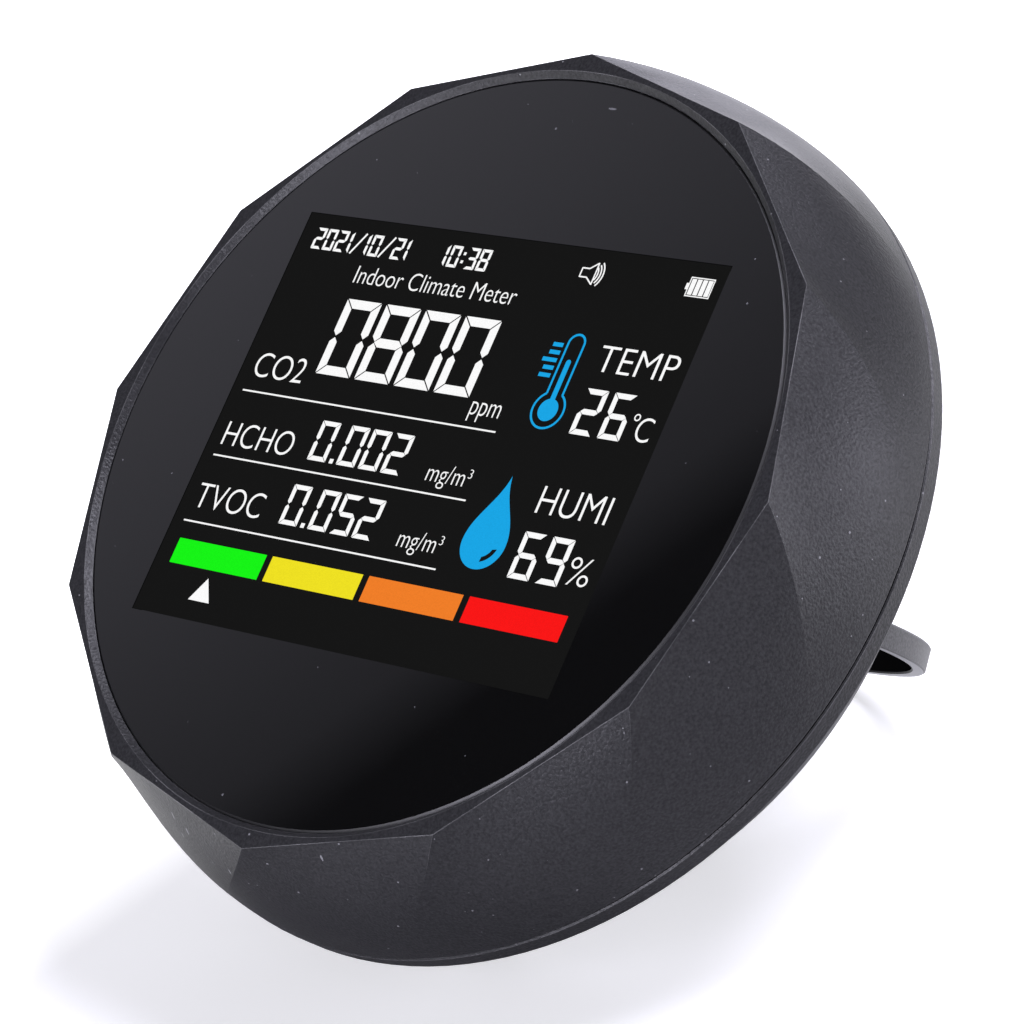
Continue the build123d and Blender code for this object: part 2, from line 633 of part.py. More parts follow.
def foot_peg(side):
    """Upright rubber peg between the desk plane and its socket in the sloping wall."""
    angle = math.radians(FOOT_ANGLE)
    slope = (BACK_DEPTH - BAND_BACK_DEPTH) / (BAND_BACK_RADIUS - BACK_RADIUS)
    spot_y = -FOOT_SPOT_RADIUS * math.cos(angle)
    spot_z = -(BAND_BACK_DEPTH + (BAND_BACK_RADIUS - FOOT_SPOT_RADIUS) * slope)
    spot_height = spot_y * UP_Y + spot_z * UP_Z - DESK_HEIGHT
    length = spot_height + FOOT_SOCKET_DEPTH
    middle_rise = FOOT_SOCKET_DEPTH - length / 2
    middle = Pos(side * FOOT_SPOT_RADIUS * math.sin(angle), spot_y + middle_rise * UP_Y, spot_z + middle_rise * UP_Z)
    return middle * Rot(X=math.degrees(LEAN_BACK) - 90) * Cylinder(FOOT_RADIUS, length)


def rear_cover():
    shell = turned([
        (0, SEAM_Z),
        (SEAM_RADIUS - SEAM_GROOVE, SEAM_Z),
        (SEAM_RADIUS, SEAM_Z - SEAM_GROOVE),
        (BAND_BACK_RADIUS, -BAND_BACK_DEPTH + 0.25),
        (BAND_BACK_RADIUS - 0.25, -BAND_BACK_DEPTH - 0.1),
        (BACK_RADIUS + 0.3, BACK_Z + 0.35),
        (BACK_RADIUS, BACK_Z),
        (0, BACK_Z),
    ])
    slope = (BAND_BACK_RADIUS - BACK_RADIUS) / (BACK_DEPTH - BAND_BACK_DEPTH)
    inside_radius = SEAM_RADIUS - BAND_WALL
    corner_radius = inside_radius - slope * (-BAND_BACK_DEPTH - THICK_RING_Z)
    shell -= turned([
        (0, SEAM_Z),
        (inside_radius, SEAM_Z),
        (inside_radius, -BAND_BACK_DEPTH),
        (corner_radius, THICK_RING_Z),
        (THICK_RING_RADIUS, THICK_RING_Z),
        (THICK_RING_RADIUS, BACK_INSIDE_Z),
        (0, BACK_INSIDE_Z),
    ])
    shell += ring(LIP_RADIUS, LIP_RADIUS - LIP_THICKNESS, LIP_FRONT_Z, SEAM_Z)
    shell += ring(inside_radius, LIP_RADIUS - LIP_THICKNESS, SEAM_Z, SEAM_Z - 1.6)
    for x, y in four_places(COVER_SCREW_SPOT):
        shell += disc(COVER_POST_RADIUS, TOWER_END_Z, BACK_INSIDE_Z, x, y)
        shell -= disc(COVER_BORE_RADIUS, TOWER_END_Z, COVER_HEAD_SEAT_Z, x, y)
        shell -= disc(COVER_HEAD_RADIUS + 0.2, COVER_HEAD_SEAT_Z, BACK_Z, x, y)
    for x in BUTTON_X.values():
        shell -= disc(BUTTON_RADIUS + RUNNING_GAP, BACK_INSIDE_Z, BACK_Z, x, BUTTON_Y)
    shell -= slot_bar(USB_WIDTH + 0.5, USB_HEIGHT + 0.5, BACK_INSIDE_Z, BACK_Z, USB_X, BUTTON_Y)
    shell -= slot_bar(USB_WIDTH + 3.6, USB_HEIGHT + 3.6, BACK_Z + USB_RECESS, BACK_Z, USB_X, BUTTON_Y)
    for row in range(VENT_ROWS):
        offset = (row - (VENT_ROWS - 1) / 2) * VENT_PITCH
        length = 2 * math.sqrt(VENT_RADIUS ** 2 - offset ** 2)
        shell -= slot_bar(length, VENT_SLOT, BACK_INSIDE_Z, BACK_Z, y=VENT_CENTRE_Y + offset)
    shell -= stand_groove()
    for side in (-1, 1):
        shell -= pin_rod(side, PIN_RADIUS)
        shell -= foot_peg(side)
    return shell


def vent_filter():
    """Thin dust cloth stuck behind the vent slots."""
    return disc(VENT_RADIUS + 1.5, BACK_INSIDE_Z + 0.4, BACK_INSIDE_Z, y=VENT_CENTRE_Y)


def rubber_feet():
    return grouped(foot_peg(side) for side in (-1, 1))


def cover_screws():
    return grouped(
        screw(x, y, COVER_HEAD_SEAT_Z, COVER_HEAD_RADIUS, 1.7, 14.0) for x, y in four_places(COVER_SCREW_SPOT)
    )


# ---------------------------------------------------------------- stand
def opened(folded_piece):
    """Swing a piece of the folded stand about the hinge axis to the open stop."""
    return Pos(0, HINGE_Y, HINGE_Z) * Rot(X=STAND_OPEN_ANGLE) * folded_piece


def stand_hoop():
    """Half-round flat bar; drawn folded, with the hinge axis along X through the origin."""
    half = STAND_WIDTH / 2
    lower_half = block(3 * STAND_RADIUS, 2 * STAND_RADIUS, half, -half, y=-STAND_RADIUS)
    hoop = ring(STAND_RADIUS, STAND_RADIUS - STAND_BAR, half, -half) & lower_half
    rims = hoop.edges().filter_by(GeomType.CIRCLE)
    hoop = chamfer(rims, 0.2)
    eye_x = STAND_RADIUS - STAND_BAR / 2
    for side in (-1, 1):
        hoop += Pos(side * eye_x, 0, 0) * Rot(Y=90) * Cylinder(half, STAND_BAR)
        hoop -= Pos(side * eye_x, 0, 0) * Rot(Y=90) * Cylinder(PIN_RADIUS + RUNNING_GAP, 2 * STAND_BAR)
    return opened(hoop)


def stand_pad():
    """Rubber sleeve on the tip, with a flat where it stands on the desk."""
    half = STAND_WIDTH / 2
    outer = STAND_RADIUS + PAD_THICKNESS
    inner = STAND_RADIUS - STAND_BAR - PAD_THICKNESS
    sleeve = ring(outer, inner, half + PAD_THICKNESS, -half - PAD_THICKNESS)
    reach = math.radians(PAD_HALF_ANGLE)
    wedge = make_face(Polyline(
        (0, 0),
        (-2 * outer * math.sin(reach), -2 * outer * math.cos(reach)),
        (2 * outer * math.sin(reach), -2 * outer * math.cos(reach)),
        close=True,
    ))
    sleeve &= Pos(0, 0, -half - PAD_THICKNESS) * extrude(wedge, STAND_WIDTH + 2 * PAD_THICKNESS)
    below_desk = Pos(0, 0, -50) * Box(200, 200, 100)
    return opened(sleeve) - stand_hoop() - TO_DESK.inverse() * below_desk


def stand_pins():
    return grouped(pin_rod(side, PIN_RADIUS) for side in (-1, 1))


# ---------------------------------------------------------------- assembly
PIECES = {
    "front_housing": front_housing,
    "lens_panel": lens_panel,
    "lens_adhesive_ring": lens_adhesive_ring,
    "display_cell": display_cell,
    "display_backlight": display_backlight,
    "display_carrier": display_carrier,
    "carrier_screws": carrier_screws,
    "display_flex": display_flex,
    "flex_socket": flex_socket,
    "battery_foam": battery_foam,
    "battery_cell": battery_cell,
    "battery_leads": battery_leads,
    "battery_plug": battery_plug,
    "battery_socket": battery_socket,
    "main_board": main_board,
    "board_screws": board_screws,
    "processor_chip": processor_chip,
    "support_chips": support_chips,
    "board_capacitors": board_capacitors,
    "buzzer": buzzer,
    "co2_sensor_board": co2_sensor_board,
    "co2_sensor_can": co2_sensor_can,
    "co2_sensor_membrane": co2_sensor_membrane,
    "co2_sensor_pins": co2_sensor_pins,
    "formaldehyde_sensor": formaldehyde_sensor,
    "formaldehyde_membrane": formaldehyde_membrane,
    "tvoc_sensor": tvoc_sensor,
    "temperature_humidity_sensor": temperature_humidity_sensor,
    "switch_bodies": switch_bodies,
    "usb_shell": usb_shell,
    "usb_tongue": usb_tongue,
    "rear_cover": rear_cover,
    "vent_filter": vent_filter,
    "cover_screws": cover_screws,
    "rubber_feet": rubber_feet,
    "stand_pins": stand_pins,
    "stand_hoop": stand_hoop,
    "stand_pad": stand_pad,
}

os.makedirs("parts", exist_ok=True)
for piece_name, make_piece in PIECES.items():
    export_step(TO_DESK * make_piece(), f"parts/{piece_name}.step")
for button_name in BUTTON_X:
    export_step(TO_DESK * button_cap(button_name), f"parts/button_{button_name}.step")
    export_step(TO_DESK * switch_plunger(button_name), f"parts/plunger_{button_name}.step")
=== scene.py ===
import json
import math

import bmesh
import bpy
from mathutils import Matrix, Vector


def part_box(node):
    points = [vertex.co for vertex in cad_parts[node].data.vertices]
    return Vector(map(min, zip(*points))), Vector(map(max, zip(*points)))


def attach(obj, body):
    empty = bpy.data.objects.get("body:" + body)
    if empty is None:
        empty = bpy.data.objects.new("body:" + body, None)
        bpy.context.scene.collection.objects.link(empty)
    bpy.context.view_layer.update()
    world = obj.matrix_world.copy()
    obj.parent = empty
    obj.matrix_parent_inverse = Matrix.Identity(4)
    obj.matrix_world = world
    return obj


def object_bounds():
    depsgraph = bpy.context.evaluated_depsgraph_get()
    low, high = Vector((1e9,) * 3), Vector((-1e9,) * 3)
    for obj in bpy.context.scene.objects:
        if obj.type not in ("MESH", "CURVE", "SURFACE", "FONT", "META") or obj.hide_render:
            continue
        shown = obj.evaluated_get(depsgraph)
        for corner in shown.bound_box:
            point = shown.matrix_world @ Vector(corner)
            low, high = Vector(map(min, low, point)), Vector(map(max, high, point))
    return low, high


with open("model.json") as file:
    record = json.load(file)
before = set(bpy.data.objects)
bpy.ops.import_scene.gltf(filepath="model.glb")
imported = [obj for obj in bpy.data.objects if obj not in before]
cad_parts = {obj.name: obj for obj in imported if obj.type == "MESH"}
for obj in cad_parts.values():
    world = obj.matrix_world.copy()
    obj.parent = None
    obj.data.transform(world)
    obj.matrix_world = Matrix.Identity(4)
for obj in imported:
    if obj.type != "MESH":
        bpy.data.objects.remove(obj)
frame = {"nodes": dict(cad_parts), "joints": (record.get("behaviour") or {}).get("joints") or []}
CAD_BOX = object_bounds()

# Carbon dioxide monitor on its hoop stand. The CAD nodes keep their own shapes and get
# materials; the pieces added here are the black print behind the glass, the picture on
# the display, and the studio. Lengths are in metres, and MM turns millimetres into them.
MM = 0.001


# ---------------------------------------------------------------- the face frame
# X to the right of the display, Y up the display, Z out of the glass. Its origin is the
# centre of the flat front rim.
def joint_named(name):
    return next(joint for joint in frame["joints"] if joint["name"] == name)


def farthest(node, direction):
    """How far a CAD node reaches along a direction."""
    return max(vertex.co.dot(direction) for vertex in frame["nodes"][node].data.vertices)


FACE_NORMAL = Vector(joint_named("power_key_press")["axis"]).normalized()
FACE_RIGHT = Vector((1, 0, 0))
FACE_UP = FACE_NORMAL.cross(FACE_RIGHT)
GLASS_LOW, GLASS_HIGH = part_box("lens_panel")
GLASS_MIDDLE = (GLASS_LOW + GLASS_HIGH) / 2
RIM_PLACE = farthest("front_housing", FACE_NORMAL)
RIM_CENTRE = GLASS_MIDDLE + FACE_NORMAL * (RIM_PLACE - GLASS_MIDDLE.dot(FACE_NORMAL))
FACE = Matrix.Translation(RIM_CENTRE) @ Matrix((FACE_RIGHT, FACE_UP, FACE_NORMAL)).transposed().to_4x4()


def face_point(x, y, z):
    """Row-frame point of a face-frame point in metres."""
    return FACE @ Vector((x, y, z))


def depth_of(node, direction=1):
    """Face-frame Z of a node's front (1) or back (-1) surface."""
    side = FACE_NORMAL * direction
    return direction * farthest(node, side) - RIM_CENTRE.dot(FACE_NORMAL)


def widest_place(node):
    """How far along the face normal a round node is widest."""
    def spread(vertex):
        return (vertex.co - RIM_CENTRE).cross(FACE_NORMAL).length

    return max(frame["nodes"][node].data.vertices, key=spread).co.dot(FACE_NORMAL)


SEAM_PLACE = (widest_place("front_housing") + widest_place("rear_cover")) / 2
GLASS_FRONT = depth_of("lens_panel")
GLASS_BACK = depth_of("lens_panel", -1)
GLASS_RADIUS = (GLASS_HIGH.x - GLASS_LOW.x) / 2
CELL_FRONT = depth_of("display_cell")
HINGE_MIDDLE = sum(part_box("stand_pins"), Vector()) / 2

# Looks shared by several materials, or named for what they stand for.
SEAM_SHADOW = 0.22 * MM          # width of the painted shadow line between the two shells
RUBBED_AND_HIGHLIT_TONE = 0.2                # how much paler plastic is on its rubbed edges, partly wear and partly painted highlight
ROUNDED_EDGE = (0.985, 0.94)     # cosines of the turn of the rounded surface: no wear or painted highlight, full wear and painted highlight
DUST_COLOUR = (0.2, 0.2, 0.21)
SIDE_FACE_PAINTED_LIGHT = 6.0             # how much paler the hoop's side faces are painted than its outer face, a painted highlight
# painted shade inside the hoop's loop
LOOP_PAINTED_SHADE = (0.005, 0.005, 0.005)
TURNED = (0.5, 0.7)              # cosines between which a hoop face counts as turned in or out
TWO_FACED_SHINE = 1.0            # specular level of glass that shines at its front and its back
BRUSHING = (1, 1, 12)            # stretch of the fine lines on plated metal
PIXEL_LIGHT = 1.0
TRACK_SCALE = 1 / 2.2            # wave scale of the copper tracks in the flat cable

# Print behind the glass and layers of the picture.
PRINT_THICKNESS = 0.02 * MM
PRINT_GAP = 0.01 * MM            # keeps the print off the glass and the picture off the cell
LAYER_STEP = 0.03 * MM
PRINT_MARGIN = 0.3 * MM
PRINT_STEPS = 180
TINY = 1e-9

# Camera in the face frame, in metres: where it stands, what it looks at and its own up.
CAMERA_SPOT = (0.33802, -0.12549, 0.34275)
CAMERA_AIM = (0.01704, -0.00626, 0.0)
CAMERA_UP = (-0.13573, 0.88940, 0.43651)
CAMERA_LENS = 156.8
SENSOR_WIDTH = 36

# Picture on the display. Seen from the camera, its middle lies just right of the rim's centre.
PICTURE_WIDTH = 64.5 * MM
PICTURE_HEIGHT = 52.2 * MM
PICTURE_SEEN_AT = (0.35 * MM, -0.04 * MM)
SIGHT_SLOPE = tuple((spot - aim) / CAMERA_SPOT[2] for spot, aim in zip(CAMERA_SPOT[:2], CAMERA_AIM))


def sight_line(z):
    """Face-frame x and y of the camera's sight line to the picture's middle, at a height z."""
    return tuple(seen + z * slope for seen, slope in zip(PICTURE_SEEN_AT, SIGHT_SLOPE))


# The surroundings are dark up to a straight edge and bright past it; the edge's bright side
# lies left, up and back in the face frame. Each stop is (sine of the angle past the edge, light).
SOFTBOX_SIDE = (-0.5566, 0.5016, -0.6622)
SURROUNDINGS = ((-0.006, 0.03), (0.010, 0.166), (0.18, 0.6), (0.35, 0.1), (0.6, 0.15), (1.0, 0.35))
COOL_WHITE = (0.99, 0.975, 1.13)
FLOOR_HALF_SIZE = 4.0
FLOOR_GAP = 0.2 * MM             # keeps the floor just under the feet
FLOOR_GLOW = 0.5                 # light the floor gives off, seen by the camera only
FLOOR_BOUNCE = 0.5               # share of light the floor throws back onto the monitor
# The floor also glows for the monitor on its left and under its back. Each part is a
# direction, how far out the glow starts and is full, and its light.
BRIGHT_FLOORS = (((-1, 0, 0), (0.02, 0.07), 1.4), ((0, 1, 0), (0.0, 0.05), 0.6))


# ---------------------------------------------------------------- material helpers
# Each helper adds nodes to a material; the world has a node tree too and may take its place.
def start_material(name):
    """A new material with its Principled shader; gives (material, shader)."""
    material = bpy.data.materials.new(name)
    material.use_nodes = True
    return material, material.node_tree.nodes["Principled BSDF"]


def add_node(material, kind, **values):
    """Add a node; values set its attributes, or its inputs when no attribute has the name."""
    node = material.node_tree.nodes.new(kind)
    for key, value in values.items():
        if hasattr(node, key):
            setattr(node, key, value)
        else:
            node.inputs[key.replace("_", " ").title()].default_value = value
    return node


def link(material, source, target):
    material.node_tree.links.new(source, target)


def feed(material, value, target):
    """Link a socket to an input, or set the input to a plain value."""
    if isinstance(value, bpy.types.NodeSocket):
        link(material, value, target)
    else:
        target.default_value = value


def object_place(material):
    """Where a surface point lies in its own node's frame, in metres."""
    return add_node(material, "ShaderNodeTexCoord").outputs["Object"]


def vector_math(material, operation, *vectors):
    """Vector math node on sockets and plain vectors; gives the node."""
    node = add_node(material, "ShaderNodeVectorMath", operation=operation)
    for socket, vector in zip(node.inputs, vectors):
        feed(material, vector, socket)
    return node


def dot_product(material, first, second):
    return vector_math(material, "DOT_PRODUCT", first, second).outputs["Value"]


def place_coordinates(material, stretch=(1, 1, 1)):
    """Object coordinates in millimetres, stretched along an axis to give grain a direction."""
    mapping = add_node(material, "ShaderNodeMapping")
    mapping.inputs["Scale"].default_value = [share / MM for share in stretch]
    link(material, object_place(material), mapping.inputs["Vector"])
    return mapping.outputs["Vector"]


def noise(material, size, detail=3.0, stretch=(1, 1, 1)):
    """Noise whose blotches are about size across; gives its 0 to 1 output."""
    texture = add_node(material, "ShaderNodeTexNoise", scale=MM / size, detail=detail)
    link(material, place_coordinates(material, stretch), texture.inputs["Vector"])
    return texture.outputs["Fac"]


def cells(material, size, feature="F1"):
    """Distance inside Voronoi cells about size across."""
    texture = add_node(material, "ShaderNodeTexVoronoi", feature=feature, scale=MM / size)
    link(material, place_coordinates(material), texture.inputs["Vector"])
    return texture.outputs["Distance"]


def remap(material, value, from_low, from_high, to_low, to_high):
    """Linear map of a value, held inside its limits."""
    node = add_node(material, "ShaderNodeMapRange")
    for index, limit in enumerate((from_low, from_high, to_low, to_high)):
        node.inputs[index + 1].default_value = limit
    link(material, value, node.inputs["Value"])
    return node.outputs["Result"]


def calculate(material, operation, *values):
    """Math node on sockets and plain numbers."""
    node = add_node(material, "ShaderNodeMath", operation=operation)
    for socket, value in zip(node.inputs, values):
        feed(material, value, socket)
    return node.outputs[0]


def specks(material, spacing, size, share, stretch=(1, 1, 1)):
    """Sparse marks: about one in each cell of the spacing, in a share of the cells."""
    texture = add_node(material, "ShaderNodeTexVoronoi", scale=MM / spacing)
    link(material, place_coordinates(material, stretch), texture.inputs["Vector"])
    parts = add_node(material, "ShaderNodeSeparateColor")
    link(material, texture.outputs["Color"], parts.inputs["Color"])
    chosen = calculate(material, "LESS_THAN", parts.outputs["Red"], share)
    wanted_size = calculate(material, "MULTIPLY", parts.outputs["Green"], size)
    near = calculate(material, "LESS_THAN", texture.outputs["Distance"], wanted_size)
    return calculate(material, "MULTIPLY", near, chosen)


def edge_wear_and_highlight(material, radius):
    """Up to 1 on sharp edges, fading to 0 about a radius away from them, stronger in some places; it marks
    both wear and a painted highlight on the edges.
    """
    rounded = add_node(material, "ShaderNodeBevel", samples=6, radius=radius)
    flat = add_node(material, "ShaderNodeNewGeometry")
    turn = dot_product(material, rounded.outputs["Normal"], flat.outputs["Normal"])
    edge = remap(material, turn, *ROUNDED_EDGE, 0, 1)
    patches = remap(material, noise(material, 9 * MM), 0.4, 0.6, 0.3, 1)
    return calculate(material, "MULTIPLY", edge, patches)


def blend_colours(material, factor, low, high):
    """Mix of two colours, or of a linked colour and a plain one, by a 0 to 1 factor."""
    node = add_node(material, "ShaderNodeMix", data_type="RGBA")
    link(material, factor, node.inputs["Factor"])
    for socket, colour in ((node.inputs[6], low), (node.inputs[7], high)):
        if isinstance(colour, bpy.types.NodeSocket):
            link(material, colour, socket)
        else:
            socket.default_value = (*colour, 1)
    return node.outputs[2]


def add_bump(material, shader, height, depth, strength=1.0, edge_radius=0.0):
    """Bump of a given depth; edge_radius also rounds the light on sharp edges."""
    bump = add_node(material, "ShaderNodeBump", distance=depth, strength=strength)
    link(material, height, bump.inputs["Height"])
    if edge_radius:
        bevel = add_node(material, "ShaderNodeBevel", samples=4, radius=edge_radius)
        link(material, bevel.outputs["Normal"], bump.inputs["Normal"])
    link(material, bump.outputs["Normal"], shader.inputs["Normal"])


def tinted(colour, factor):
    return tuple(channel * factor for channel in colour)


# ---------------------------------------------------------------- materials
def height_band(material, axis, middle, half_width):
    """1 within half_width of a place along an axis, and 0 elsewhere."""
    along = dot_product(material, object_place(material), axis)
    distance = calculate(material, "ABSOLUTE", calculate(material, "SUBTRACT", along, middle))
    return calculate(material, "LESS_THAN", distance, half_width)


def moulded_plastic(
    name, colour, roughness, grain=0.5 * MM, depth=0.02 * MM, relief=0.15, marks=False, edge_radius=0.12 * MM
):
    """Moulded plastic with an eroded grain, uneven shine and rubbed edges, which also carry a painted
    highlight.

    The grain's pits are darker and shine less than its tops: partly grain tone, partly painted shade. The
    marked housing also gets dust, scuffs and a painted shadow line on the seam between its two shells.
    """
    material, shader = start_material(name)
    pebbles = noise(material, grain, detail=2.0)
    broad = noise(material, 18 * MM, detail=2.0)
    # Pits get a darker colour and less shine than tops: partly grain tone, partly painted shade in the pits.
    tops = remap(material, pebbles, 0.3, 0.7, 0, 1)
    shade = blend_colours(material, tops, tinted(colour, 0.75), tinted(colour, 1.25))
    gloss = remap(material, pebbles, 0.3, 0.7, 0.5 - relief, 0.5 + relief)
    # Rubbed edges are made paler: partly wear, partly a painted highlight along the edges.
    worn_and_highlit = edge_wear_and_highlight(material, edge_radius)
    shade = blend_colours(material, worn_and_highlit, shade, tuple(min(1, channel + RUBBED_AND_HIGHLIT_TONE) for channel in colour))
    if marks:
        dust = specks(material, 1.6 * MM, 0.09, 0.8)
        scuffs = specks(material, 2.2 * MM, 0.07, 0.6, stretch=(1, 0.2, 0.3))
        shade = blend_colours(material, calculate(material, "MAXIMUM", dust, scuffs), shade, DUST_COLOUR)
        # Painted shadow line along the seam: near-black colour and no shine.
        seam = height_band(material, FACE_NORMAL, SEAM_PLACE, SEAM_SHADOW / 2)
        shade = blend_colours(material, seam, shade, (0.001,) * 3)
        gloss = calculate(material, "MULTIPLY", gloss, calculate(material, "SUBTRACT", 1.0, seam))
    link(material, shade, shader.inputs["Base Color"])
    link(material, gloss, shader.inputs["Specular IOR Level"])
    shine = remap(material, broad, 0.3, 0.7, roughness - 0.05, roughness + 0.06)
    link(material, shine, shader.inputs["Roughness"])
    add_bump(material, shader, pebbles, depth, edge_radius=edge_radius)
    return material


def hoop_plastic(name, colour, middle):
    """The stand's grained plastic, with a painted highlight on the bar's side faces and painted shade, matt
    black, inside the loop.
    """
    material = moulded_plastic(name, colour, 0.4, grain=0.3 * MM)
    shader = material.node_tree.nodes["Principled BSDF"]
    inward = vector_math(material, "SUBTRACT", middle, object_place(material)).outputs["Vector"]
    direction = vector_math(material, "NORMALIZE", inward).outputs["Vector"]
    normal = add_node(material, "ShaderNodeTexCoord").outputs["Normal"]
    facing = dot_product(material, direction, normal)
    # Faces turned into the loop get painted shade: near-black colour and no shine.
    inside = remap(material, facing, *TURNED, 0, 1)
    # Side faces of the bar get a painted highlight: a paler colour.
    side = remap(material, calculate(material, "ABSOLUTE", facing), *TURNED, 1, 0)
    shade = shader.inputs["Base Color"].links[0].from_socket
    shade = blend_colours(material, side, shade, tinted(colour, SIDE_FACE_PAINTED_LIGHT))
    link(material, blend_colours(material, inside, shade, LOOP_PAINTED_SHADE), shader.inputs["Base Color"])
    gloss = shader.inputs["Specular IOR Level"].links[0].from_socket
    outside = calculate(material, "SUBTRACT", 1.0, inside)
    link(material, calculate(material, "MULTIPLY", gloss, outside), shader.inputs["Specular IOR Level"])
    return material


def rubber(name, colour):
    """Dull rubber with a dusty bloom and a fine skin texture."""
    material, shader = start_material(name)
    bloom = noise(material, 3 * MM, detail=5.0)
    link(material, blend_colours(material, bloom, colour, tinted(colour, 1.9)), shader.inputs["Base Color"])
    link(material, remap(material, bloom, 0.3, 0.7, 0.72, 0.9), shader.inputs["Roughness"])
    add_bump(material, shader, noise(material, 0.25 * MM, detail=4.0), 0.02 * MM, edge_radius=0.2 * MM)
    return material


def plated_metal(name, colour, roughness):
    """Plated metal with faint brushing and small tarnish blotches."""
    material, shader = start_material(name)
    lines = noise(material, 0.6 * MM, stretch=BRUSHING)
    tarnish = noise(material, 2.5 * MM, detail=4.0)
    shade = blend_colours(material, tarnish, tinted(colour, 0.8), colour)
    link(material, shade, shader.inputs["Base Color"])
    shader.inputs["Metallic"].default_value = 1.0
    shine = remap(material, lines, 0.3, 0.7, roughness - 0.06, roughness + 0.1)
    link(material, shine, shader.inputs["Roughness"])
    add_bump(material, shader, lines, 0.004 * MM, edge_radius=0.08 * MM)
    return material


def coated_glass(name):
    """Glossy glass over black print, with a matt ground edge, smudges, dust and a clear window."""
    material, shader = start_material(name)
    mottled = noise(material, 0.4 * MM, detail=2.0)
    ink = blend_colours(material, mottled, (0.0010,) * 3, (0.0018,) * 3)
    dust = specks(material, 2.4 * MM, 0.07, 0.6)
    scratches = specks(material, 3.0 * MM, 0.05, 0.6, stretch=(0.2, 1, 0.5))
    marks = calculate(material, "MAXIMUM", dust, scratches)
    link(material, blend_colours(material, marks, ink, (0.12, 0.12, 0.13)), shader.inputs["Base Color"])
    smudge = remap(material, noise(material, 14 * MM), 0.45, 0.8, 0.015, 0.05)
    normal = add_node(material, "ShaderNodeNewGeometry").outputs["Normal"]
    ground_edge = remap(material, dot_product(material, normal, FACE_NORMAL), 0.99, 0.98, 0, 0.5)
    link(material, calculate(material, "MAXIMUM", smudge, ground_edge), shader.inputs["Roughness"])
    shader.inputs["Specular IOR Level"].default_value = TWO_FACED_SHINE
    link(material, outside_window(material), shader.inputs["Alpha"])
    return material


def outside_window(material):
    """0 inside the picture's window in the glass, and 1 outside it.

    The window's walls follow the camera's sight line, so that they end behind its edges.
    """
    middle = face_point(*sight_line(GLASS_FRONT), GLASS_FRONT)
    outside = []
    for axis, size, slope in zip((FACE_RIGHT, FACE_UP), (PICTURE_WIDTH, PICTURE_HEIGHT), SIGHT_SLOPE):
        across = axis - FACE_NORMAL * slope
        within = height_band(material, across, middle.dot(across), size / 2)
        outside.append(calculate(material, "SUBTRACT", 1.0, within))
    return calculate(material, "MAXIMUM", *outside)


def printed_ink(name):
    """Black ink on the back of the glass, with tiny pinholes of tone."""
    material, shader = start_material(name)
    mottled = noise(material, 0.4 * MM, detail=2.0)
    shade = blend_colours(material, mottled, (0.0012,) * 3, (0.0022,) * 3)
    link(material, shade, shader.inputs["Base Color"])
    link(material, remap(material, mottled, 0.3, 0.7, 0.5, 0.6), shader.inputs["Roughness"])
    shader.inputs["Specular IOR Level"].default_value = 0.0
    return material


def lit_pixels(name, colour):
    """A lit part of the display: a fine pixel grid that gives off its own light."""
    material, shader = start_material(name)
    pixel = remap(material, cells(material, 0.12 * MM), 0.2, 0.7, 1.0, 0.9)
    glow = add_node(material, "ShaderNodeMix", data_type="RGBA", blend_type="MULTIPLY")
    glow.inputs["Factor"].default_value = 1.0
    glow.inputs[6].default_value = (*colour, 1)
    link(material, pixel, glow.inputs[7])
    link(material, glow.outputs[2], shader.inputs["Emission Color"])
    shader.inputs["Emission Strength"].default_value = PIXEL_LIGHT
    shader.inputs["Base Color"].default_value = (*tinted(colour, 0.02), 1)
    shader.inputs["Roughness"].default_value = 0.6
    shader.inputs["Specular IOR Level"].default_value = 0.0
    return material


def circuit_board(name):
    """Green solder mask over faint copper tracks."""
    material, shader = start_material(name)
    tracks = remap(material, cells(material, 4 * MM, feature="DISTANCE_TO_EDGE"), 0.02, 0.05, 1, 0)
    mask = blend_colours(material, tracks, (0.004, 0.05, 0.018), (0.012, 0.11, 0.04))
    link(material, mask, shader.inputs["Base Color"])
    shader.inputs["Roughness"].default_value = 0.32
    add_bump(material, shader, tracks, 0.03 * MM, edge_radius=0.1 * MM)
    return material


def cloth(name, colour, thread):
    """Non-woven cloth of short tangled fibres."""
    material, shader = start_material(name)
    fibres = noise(material, thread, detail=8.0, stretch=(1, 3, 1))
    shade = blend_colours(material, fibres, tinted(colour, 0.6), tinted(colour, 1.4))
    link(material, shade, shader.inputs["Base Color"])
    shader.inputs["Roughness"].default_value = 0.95
    shader.inputs["Sheen Weight"].default_value = 0.3
    add_bump(material, shader, fibres, 0.08 * MM)
    return material


def crinkled_foil(name):
    """Battery pouch foil with soft creases."""
    material, shader = start_material(name)
    creases = cells(material, 7 * MM)
    shade = blend_colours(material, creases, (0.42, 0.43, 0.44), (0.6, 0.61, 0.62))
    link(material, shade, shader.inputs["Base Color"])
    shader.inputs["Metallic"].default_value = 0.85
    link(material, remap(material, creases, 0, 1, 0.3, 0.48), shader.inputs["Roughness"])
    add_bump(material, shader, creases, 0.15 * MM, strength=0.5)
    return material


def amber_film(name):
    """Flat cable: amber film over copper tracks that run along it."""
    material, shader = start_material(name)
    wave = add_node(material, "ShaderNodeTexWave", bands_direction="X", scale=TRACK_SCALE)
    link(material, place_coordinates(material), wave.inputs["Vector"])
    tracks = wave.outputs["Fac"]
    shade = blend_colours(material, tracks, (0.32, 0.11, 0.02), (0.62, 0.3, 0.09))
    link(material, shade, shader.inputs["Base Color"])
    shader.inputs["Roughness"].default_value = 0.35
    add_bump(material, shader, tracks, 0.02 * MM)
    return material


